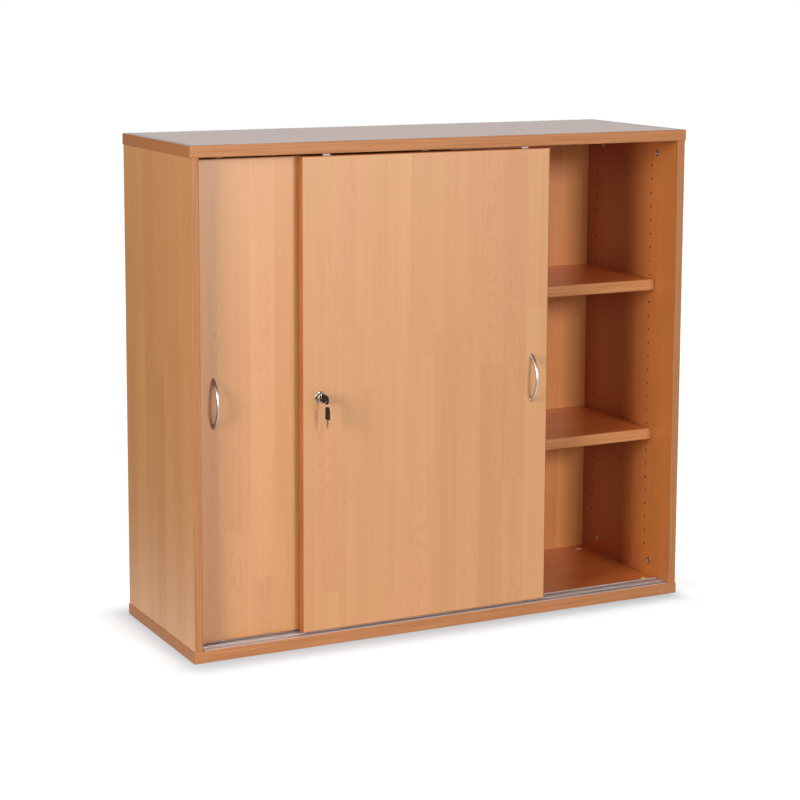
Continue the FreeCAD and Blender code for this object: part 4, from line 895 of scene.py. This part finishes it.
# %% Tree that sets a piece out on points
def set_out_tree():
    """The same piece on every point, turned as the point says."""
    tree, given = geometry_tree("set out on points", Piece="Object")
    piece = after("GeometryNodeObjectInfo", {"Object": given["Piece"]})["Geometry"]
    named = {"Name": "turn"}
    turn = node(tree, "GeometryNodeInputNamedAttribute", named, data_type="FLOAT_VECTOR")
    parts = {"Points": given["Geometry"], "Instance": piece, "Rotation": turn.outputs[0]}
    end_geometry("GeometryNodeInstanceOnPoints", parts, given["Finish"])
    return tree


def solids_of(name):
    """(lowest corner, middle, highest corner) of each separate solid in a loaded node."""
    made = bmesh.new()
    made.from_mesh(frame["nodes"][name].data)
    bmesh.ops.remove_doubles(made, verts=made.verts, dist=1e-6)
    left = set(made.verts)
    found = []
    while left:
        grown, edge = set(), {left.pop()}
        while edge:
            grown |= edge
            edge = {e.other_vert(v) for v in edge for e in v.link_edges} - grown
        left -= grown
        low = Vector(min(v.co[i] for v in grown) for i in range(3))
        high = Vector(max(v.co[i] for v in grown) for i in range(3))
        found.append((low, middle_of(low, high), high))
    made.free()
    return sorted(found, key=lambda corners: [round(c, 4) for c in corners[0]])


def set_out(name, pattern, spot_of, solid, body="cabinet", finish="zinc_plated"):
    """A pattern's copies as one mesh, each at the (place, turn) that spot_of finds for a solid."""
    spots = [spot_of(*corners) for corners in solids_of(solid)]
    material = pattern.active_material
    mesh = bpy.data.meshes.new(name)
    mesh.from_pydata([spot for spot, _ in spots], [], [])
    turns = mesh.attributes.new("turn", "FLOAT_VECTOR", "POINT")
    for point, (_, turn) in zip(turns.data, spots):
        point.vector = turn
    piece = grow(linked(name, mesh), setting_out, Piece=pattern, Finish=material)
    bpy.data.objects.remove(pattern)
    hand_over(piece, body, finish, solid)


def crossed(reach, width, top, depth):
    """Two crossed wedges that cut a cross recess down from a height, in millimetres."""
    bars = []
    for half_x, half_y in ((reach / 2, width / 2), (width / 2, reach / 2)):
        bar = plate(oblong(-half_x, half_x, -half_y, half_y), depth + 1)
        for vert in bar.verts:
            if vert.co.z == 0:
                vert.co *= 0.5
            vert.co.z += top - depth
        bars.append(as_object("bar", placed(bar), zinc))
    return bars


setting_out = set_out_tree()
print("set out tree:", len(setting_out.nodes), "nodes")

# %% [markdown]
# A cam is a die-cast drum, pressed flush into a side panel. A screwdriver turns it by the cross in
# its face and so pulls the cam bolt tight. The cross is cut by two crossed wedges. A cam's place is
# the middle of the measured drum, at the panel's inner face.

# %% Cams
face = [(7.1, 0), (5.6, 0), (5.2, -0.35), (0, -0.35)]
drum = [(0, -12), (7.3, -12), (7.5, -11.8), (7.5, -0.4)] + face
cam = carved(turned("cam", drum, cast_zinc, turn=STRAIGHT), *crossed(9.5, 2.2, -0.35, 3.0))


def cam_spot(low, middle, high):
    """A cam's face looks inward, so it lies at the drum's inner end."""
    on_left = middle.x < 0
    turn = (0, math.radians(90 if on_left else -90), 0)
    return (high.x if on_left else low.x, middle.y, middle.z), turn


set_out("cams", cam, cam_spot, "cam_locks")

# %% [markdown]
# A shelf support is a steel peg with a thicker head that the shelf rests on. The head's upper side
# is flat. The peg is turned along X, and every point of the head above the flat is pressed down to
# it. A peg's head points away from the wall that it is in: to the right from the left side and
# from the partition's right face, and to the left from the other two.

# %% Shelf supports
HEAD_LONG, HEAD_RADIUS = 6.5, 4.5
shank = [(0, -6.8), (1.9, -6.8), (2.4, -6.2), (2.4, 0)]
head = [(4.2, 0), (HEAD_RADIUS, 0.3), (HEAD_RADIUS, 6.1), (4.1, HEAD_LONG), (0, HEAD_LONG)]
peg_shape = lathe(shank + head, 40)
for vert in peg_shape.verts:
    if vert.co.z >= 0 and vert.co.x < 0:
        vert.co.x = 0
bmesh.ops.remove_doubles(peg_shape, verts=peg_shape.verts, dist=1e-4)
bmesh.ops.dissolve_degenerate(peg_shape, edges=peg_shape.edges, dist=1e-4)
bmesh.ops.recalc_face_normals(peg_shape, faces=peg_shape.faces)
peg = as_object("support", placed(peg_shape, Matrix.Rotation(math.radians(90), 3, "Y")), zinc)
left_end = -0.5 * frame["nodes"]["shelf_supports"].dimensions.x


def peg_spot(low, middle, high):
    """Where the head meets the wall, with half a turn for a peg that points to the left."""
    opens_right = abs(low.x - left_end) < MM or 0 < middle.x < 0.1
    wall_x = high.x - HEAD_LONG * MM if opens_right else low.x + HEAD_LONG * MM
    spot = (wall_x, middle.y, low.z + HEAD_RADIUS * MM)
    return spot, (0, 0, 0 if opens_right else math.pi)


set_out("shelf_pegs", peg, peg_spot, "shelf_supports")

# %% [markdown]
# The access bores over the levelling feet are closed by small dished plastic caps with a hole for
# a hexagon key. The track screws are countersunk, and the handle screws have domed heads on the
# back of the doors. All the screws have a cross recess.

# %% Caps and screws
RIM_HIGH, DOME_HIGH = 1.2, 2.5
dish = [(6.6, 1.0), (6.0, RIM_HIGH), (5.4, RIM_HIGH), (3.4, 0.7), (2.2, 0.7)]
cap_profile = [(2.2, -3), (5.4, -3), (5.4, 0), (7, 0), (7, 0.5)] + dish
cap = turned("cap", cap_profile, cap_beige, turn=STRAIGHT)


def cap_spot(_, middle, high):
    return (middle.x, middle.y, high.z - RIM_HIGH * MM), (0, 0, 0)


def track_spot(_, middle, high):
    return (middle.x, middle.y, high.z), (0, 0, 0.4)


def handle_spot(_, middle, high):
    return (middle.x, high.y - DOME_HIGH * MM, middle.z), (math.radians(-90), 0, 0)


set_out("access_caps", cap, cap_spot, "foot_caps", finish="cap_plastic")


def screw(name, head, shank, length, recess, top):
    """A screw whose shank points down -Z, with a cross recess in its head."""
    thread = [(0, -length), (0.5 * shank, 1.5 - length), (shank, 3 - length)]
    made = turned(name, thread + head, zinc, 32, turn=STRAIGHT)
    return carved(made, *crossed(recess, 0.22 * recess, top, 0.28 * recess))


sunk_head = [(1.5, -1.0), (2.95, -0.15), (3.0, -0.05), (2.9, 0), (0, 0)]
track_screw = screw("track_screw", sunk_head, 1.5, 11, 3.2, 0)
set_out("track_fixings", track_screw, track_spot, "track_screws")

dome = [(3.5, 1.7), (2.4, 2.3), (1.2, DOME_HIGH), (0, DOME_HIGH)]
domed_head = [(2.0, 0), (3.8, 0), (4.0, 0.25), (4.0, 0.9)] + dome
for door in ("front", "rear"):
    handle_screw = screw("handle_screw", domed_head, 2.0, 24, 4.2, DOME_HIGH)
    name, solid = door + "_bow_fixings", door + "_handle_screws"
    set_out(name, handle_screw, handle_spot, solid, door + "_door")

# %% [markdown]
# ## The push-in lock
#
# The lock is a plunger lock: pushing the barrel in drives its bolt behind the back of the front
# door, and a turn of the key lets it spring out again. Three turned parts show. The rose sits on
# the door, the barrel stands 13 mm proud of it, and the core in the barrel has a slot for the key.
# Their rims are rounded, because a bright rim is what the eye finds on a small metal part.

# %% Rose, barrel and core
lock_middle = middle_of(*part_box("lock_housing"))
lock_spot = Vector((lock_middle.x, front_face, lock_middle.z))
outer_rim = [(12.5, 0), (12.5, 0.9), (12.35, 1.35), (12.0, 1.7), (11.4, 1.95)]
inner_rim = [(10.9, 2.0), (10.3, 1.95), (9.75, 1.7), (9.56, 1.4)]
rose_profile = [(4.06, -18), (11, -18), (11, 0)] + outer_rim + inner_rim
rose_profile += [(9.56, -16.8), (4.06, -16.8)]
rose = turned("lock_rose", rose_profile, bright_nickel, 72, lock_spot)
hand_over(rose, "front_door", "polished_nickel", "lock_housing")

barrel_wall = [(1.6, -7), (5.46, -7), (5.46, 0), (8.6, 0), (8.6, -7), (9.5, -7)]
barrel_rim = [(9.5, 12.1), (9.4, 12.5), (9.15, 12.8), (8.7, 13.0), (5.1, 13.0), (4.8, 12.9)]
barrel_profile = barrel_wall + barrel_rim + [(4.6, 12.6), (4.6, -5.2), (1.6, -5.2)]
barrel = turned("lock_plunger_barrel", barrel_profile, bright_nickel, 72, lock_spot)
hand_over(barrel, "lock_plunger", "polished_nickel", "lock_barrel")

core_profile = [(0, -5.1), (4.5, -5.1), (4.5, 13.1), (4.4, 13.3), (4.2, 13.4), (0, 13.4)]
core = turned("lock_turning_core", core_profile, bright_nickel, spot=lock_spot)
slot_spot = lock_spot + Vector((0, 5.05 * MM, 0))
slot = placed(plate(oblong(-1.2, 1.2, -4.1, 4.1), 20), TO_FRONT, slot_spot)
carved(core, as_object("slot", slot, bright_nickel))
hand_over(core, "key", "polished_nickel", "lock_core")

# %% [markdown]
# ## The keys
#
# A key is a flat steel blade with notches, moulded into a black head. The head has round corners,
# a shallow sunk field on each flat, and a hole near the tip for the ring. One key is in the lock
# with its head nearly level, and one hangs from the ring.

# %% Outline with round corners
def softened(corners, steps=8):
    """The outline through (x, y, radius) corners, with an arc of that radius at each."""
    outline = []
    for index, (x, y, radius) in enumerate(corners):
        here = Vector((x, y))
        behind = (Vector(corners[index - 1][:2]) - here).normalized()
        ahead = (Vector(corners[(index + 1) % len(corners)][:2]) - here).normalized()
        half = behind.angle(ahead) / 2
        centre = here + (behind + ahead).normalized() * radius / math.sin(half)
        first = here + behind * radius / math.tan(half) - centre
        last = here + ahead * radius / math.tan(half) - centre
        between = first.angle(last)
        for step in range(steps + 1):
            share = step / steps
            mixed = first * math.sin((1 - share) * between) + last * math.sin(share * between)
            outline.append(tuple(centre + mixed / math.sin(between)))
    return outline


# the drawing's X, Y and Z are the key's width, length and thickness
KEY_FLAT = Matrix(((0, 0, 1), (1, 0, 0), (0, 1, 0)))
HEAD_LENGTH, HEAD_THICK, FIELD_DEPTH = 27, 2.8, 0.2
HOLE_RADIUS, HOLE_TO_TIP = 2, 3.5
BLADE_LENGTH, BLADE_HALF, BLADE_THICK, NOTCH = 18, 3, 2, 1.1
HEAD_CORNERS = [(-9.5, 0, 2.5), (9.5, 0, 2.5), (9.5, 19, 3), (6, 27, 5), (-6, 27, 5), (-9.5, 19, 3)]
FIELD_CORNERS = [(-6.6, 4, 2), (6.6, 4, 2), (6.6, 17, 3), (-6.6, 17, 3)]
print("head outline:", len(softened(HEAD_CORNERS)), "points")

# %% Key head and blade
def key_parts(name, turn, spot):
    """A key's head and blade, from its shoulder's middle at a spot."""
    facing = turn @ KEY_FLAT

    def drawn(part, outline, start, thickness, material):
        shape = plate(outline, thickness)
        bmesh.ops.translate(shape, vec=(0, 0, start), verts=shape.verts)
        return as_object(part, placed(shape, facing, spot), material)

    head = drawn(name + "_grip", softened(HEAD_CORNERS), -HEAD_THICK / 2, HEAD_THICK, key_black)
    field, seat = softened(FIELD_CORNERS), oblong(-3.05, 3.05, -1, 8.1)
    hole = circle(HOLE_RADIUS, 40, HEAD_LENGTH - HOLE_TO_TIP)
    cuts = [(field, side * HEAD_THICK / 2 - FIELD_DEPTH, 2 * FIELD_DEPTH) for side in (-1, 1)]
    cuts += [(hole, -5, 10), (seat, -1.05, 2.1)]
    cutters = [drawn("cutter", *cut, key_black) for cut in cuts]
    head = eased(carved(head, *cutters), 0.35 * MM)

    edge, floor = -BLADE_HALF, NOTCH - BLADE_HALF
    outline = [(edge, -BLADE_LENGTH), (0, -BLADE_LENGTH - 1.1), (BLADE_HALF, -BLADE_LENGTH)]
    outline += [(BLADE_HALF, 8), (edge, 8)]
    for notch in range(4):
        middle = -BLADE_LENGTH * (2 * notch + 2) / 10
        outline += [(edge, middle + NOTCH), (floor, middle), (edge, middle - NOTCH)]
    blade = drawn(name + "_steel", outline, -BLADE_THICK / 2, BLADE_THICK, bright_nickel)
    groove = oblong(-0.2, 1.3, -BLADE_LENGTH - 2, -0.6)
    sides = [side * BLADE_THICK / 2 - 0.45 for side in (-1, 1)]
    grooves = [drawn("groove", groove, start, 0.9, bright_nickel) for start in sides]
    return head, eased(carved(blade, *grooves), 0.12 * MM, 2)


DROOP = math.radians(3)
shoulder = lock_spot - Vector((0, (13 + math.cos(DROOP)) * MM, math.sin(DROOP) * MM))
in_lock = Matrix.Rotation(math.radians(90) + DROOP, 3, "X")
spare_low, spare_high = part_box("spare_key_head")
spare_middle = middle_of(spare_low, spare_high)
spare_spot = (spare_middle.x, spare_middle.y, spare_low[2])
for key, turn, spot in (("key", in_lock, shoulder), ("spare_key", STRAIGHT, spare_spot)):
    grip, steel = key_parts(key, turn, spot)
    hand_over(grip, key, "key_plastic", key + "_head")
    hand_over(steel, key, "polished_nickel", key + "_blade")

# %% [markdown]
# ## The split ring
#
# A key ring is a flat wire wound round almost twice, so that the ends lie side by side. That is
# a spiral with a rise of one wire's thickness a turn. The tree winds the spiral, holds its section
# upright, and rounds the section's corners. Its radius, wire and turns are named inputs.

# %% Tree for a split ring
def split_ring_tree():
    """A flat wire of this depth wound round this many turns."""
    floats = dict.fromkeys(("Radius", "Wire", "Depth", "Turns"), "Float")
    tree, given = geometry_tree("split ring", **floats)
    wire, climb = given["Wire"], times(given["Turns"], given["Wire"])
    winding = {"Resolution": 56, "Rotations": given["Turns"], "Height": climb}
    winding |= {"Start Radius": given["Radius"], "End Radius": given["Radius"]}
    spiral = after("GeometryNodeCurveSpiral", winding)[0]
    moved = {"Geometry": spiral, "Translation": vector(0.0, 0.0, times(climb, -0.5))}
    centred = after("GeometryNodeTransform", moved)[0]
    held = after("GeometryNodeSetCurveNormal", {"Curve": centred}, mode="Z_UP")[0]
    size = {0: given["Depth"], 1: times(wire, 0.94)}
    flat = after("GeometryNodeCurvePrimitiveQuadrilateral", size)[0]
    cornered = {"Curve": flat, "Radius": times(wire, 0.28), "Count": 3}
    section = after("GeometryNodeFilletCurve", cornered, mode="POLY")[0]
    parts = {"Curve": held, "Profile Curve": section, "Fill Caps": True}
    end_geometry("GeometryNodeCurveToMesh", parts, given["Finish"])
    return tree


split_ring = split_ring_tree()
start = linked("wound_ring", bpy.data.meshes.new("wound_ring"))
winding = {"Radius": 7.5, "Wire": 0.6, "Depth": 1.0, "Turns": 1.93}
ring = grow(start, split_ring, **winding, Finish=bright_nickel)
wound = bmesh.new()
wound.from_mesh(ring.data)
bmesh.ops.recalc_face_normals(wound, faces=wound.faces)
placed(wound, TO_FRONT, middle_of(*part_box("key_ring"))).to_mesh(ring.data)
wound.free()
hand_over(ring, "ring", "polished_nickel", "key_ring")

# %% [markdown]
# ## Rollers
#
# A door runs on two grooved plastic wheels, turned like the lock's parts: the groove rides on the
# rail, and the sides are dished to save plastic. Half the profile is written down, and the other
# half is its mirror image.

# %% Rollers
ROLLER_THICK = 6
bore_and_dish = [(2.06, 0.3), (2.3, 0), (3.6, 0), (3.9, 0.8), (7.0, 0.8), (7.3, 0)]
flange_and_groove = [(9.2, 0), (9.5, 0.3), (9.5, 1.3), (9.3, 1.5), (8.2, 1.7), (8.0, 1.95)]
first = bore_and_dish + flange_and_groove
second = [(radius, ROLLER_THICK - height) for radius, height in reversed(first)]
for solid in fnmatch.filter(frame["nodes"], "*_roller"):
    low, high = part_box(solid)
    spot = Vector((0, (high[1] - low[1]) / 2, 0)) + middle_of(low, high)
    wheel = turned(solid.replace("roller", "wheel"), first + second, roller_white, 64, spot)
    hand_over(wheel, solid, "roller_plastic", solid)

# %% [markdown]
# ## Measure
#
# Both boxes are printed side by side, to show whether the dressed model grew beyond
# the measured one.

# %% Sizes
dressed_box = [list(corner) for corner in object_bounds()]
for label, box in (("measured", measured_box), ("dressed", dressed_box)):
    print(label, [round((b - a) / MM, 2) for a, b in zip(*box)], "mm")
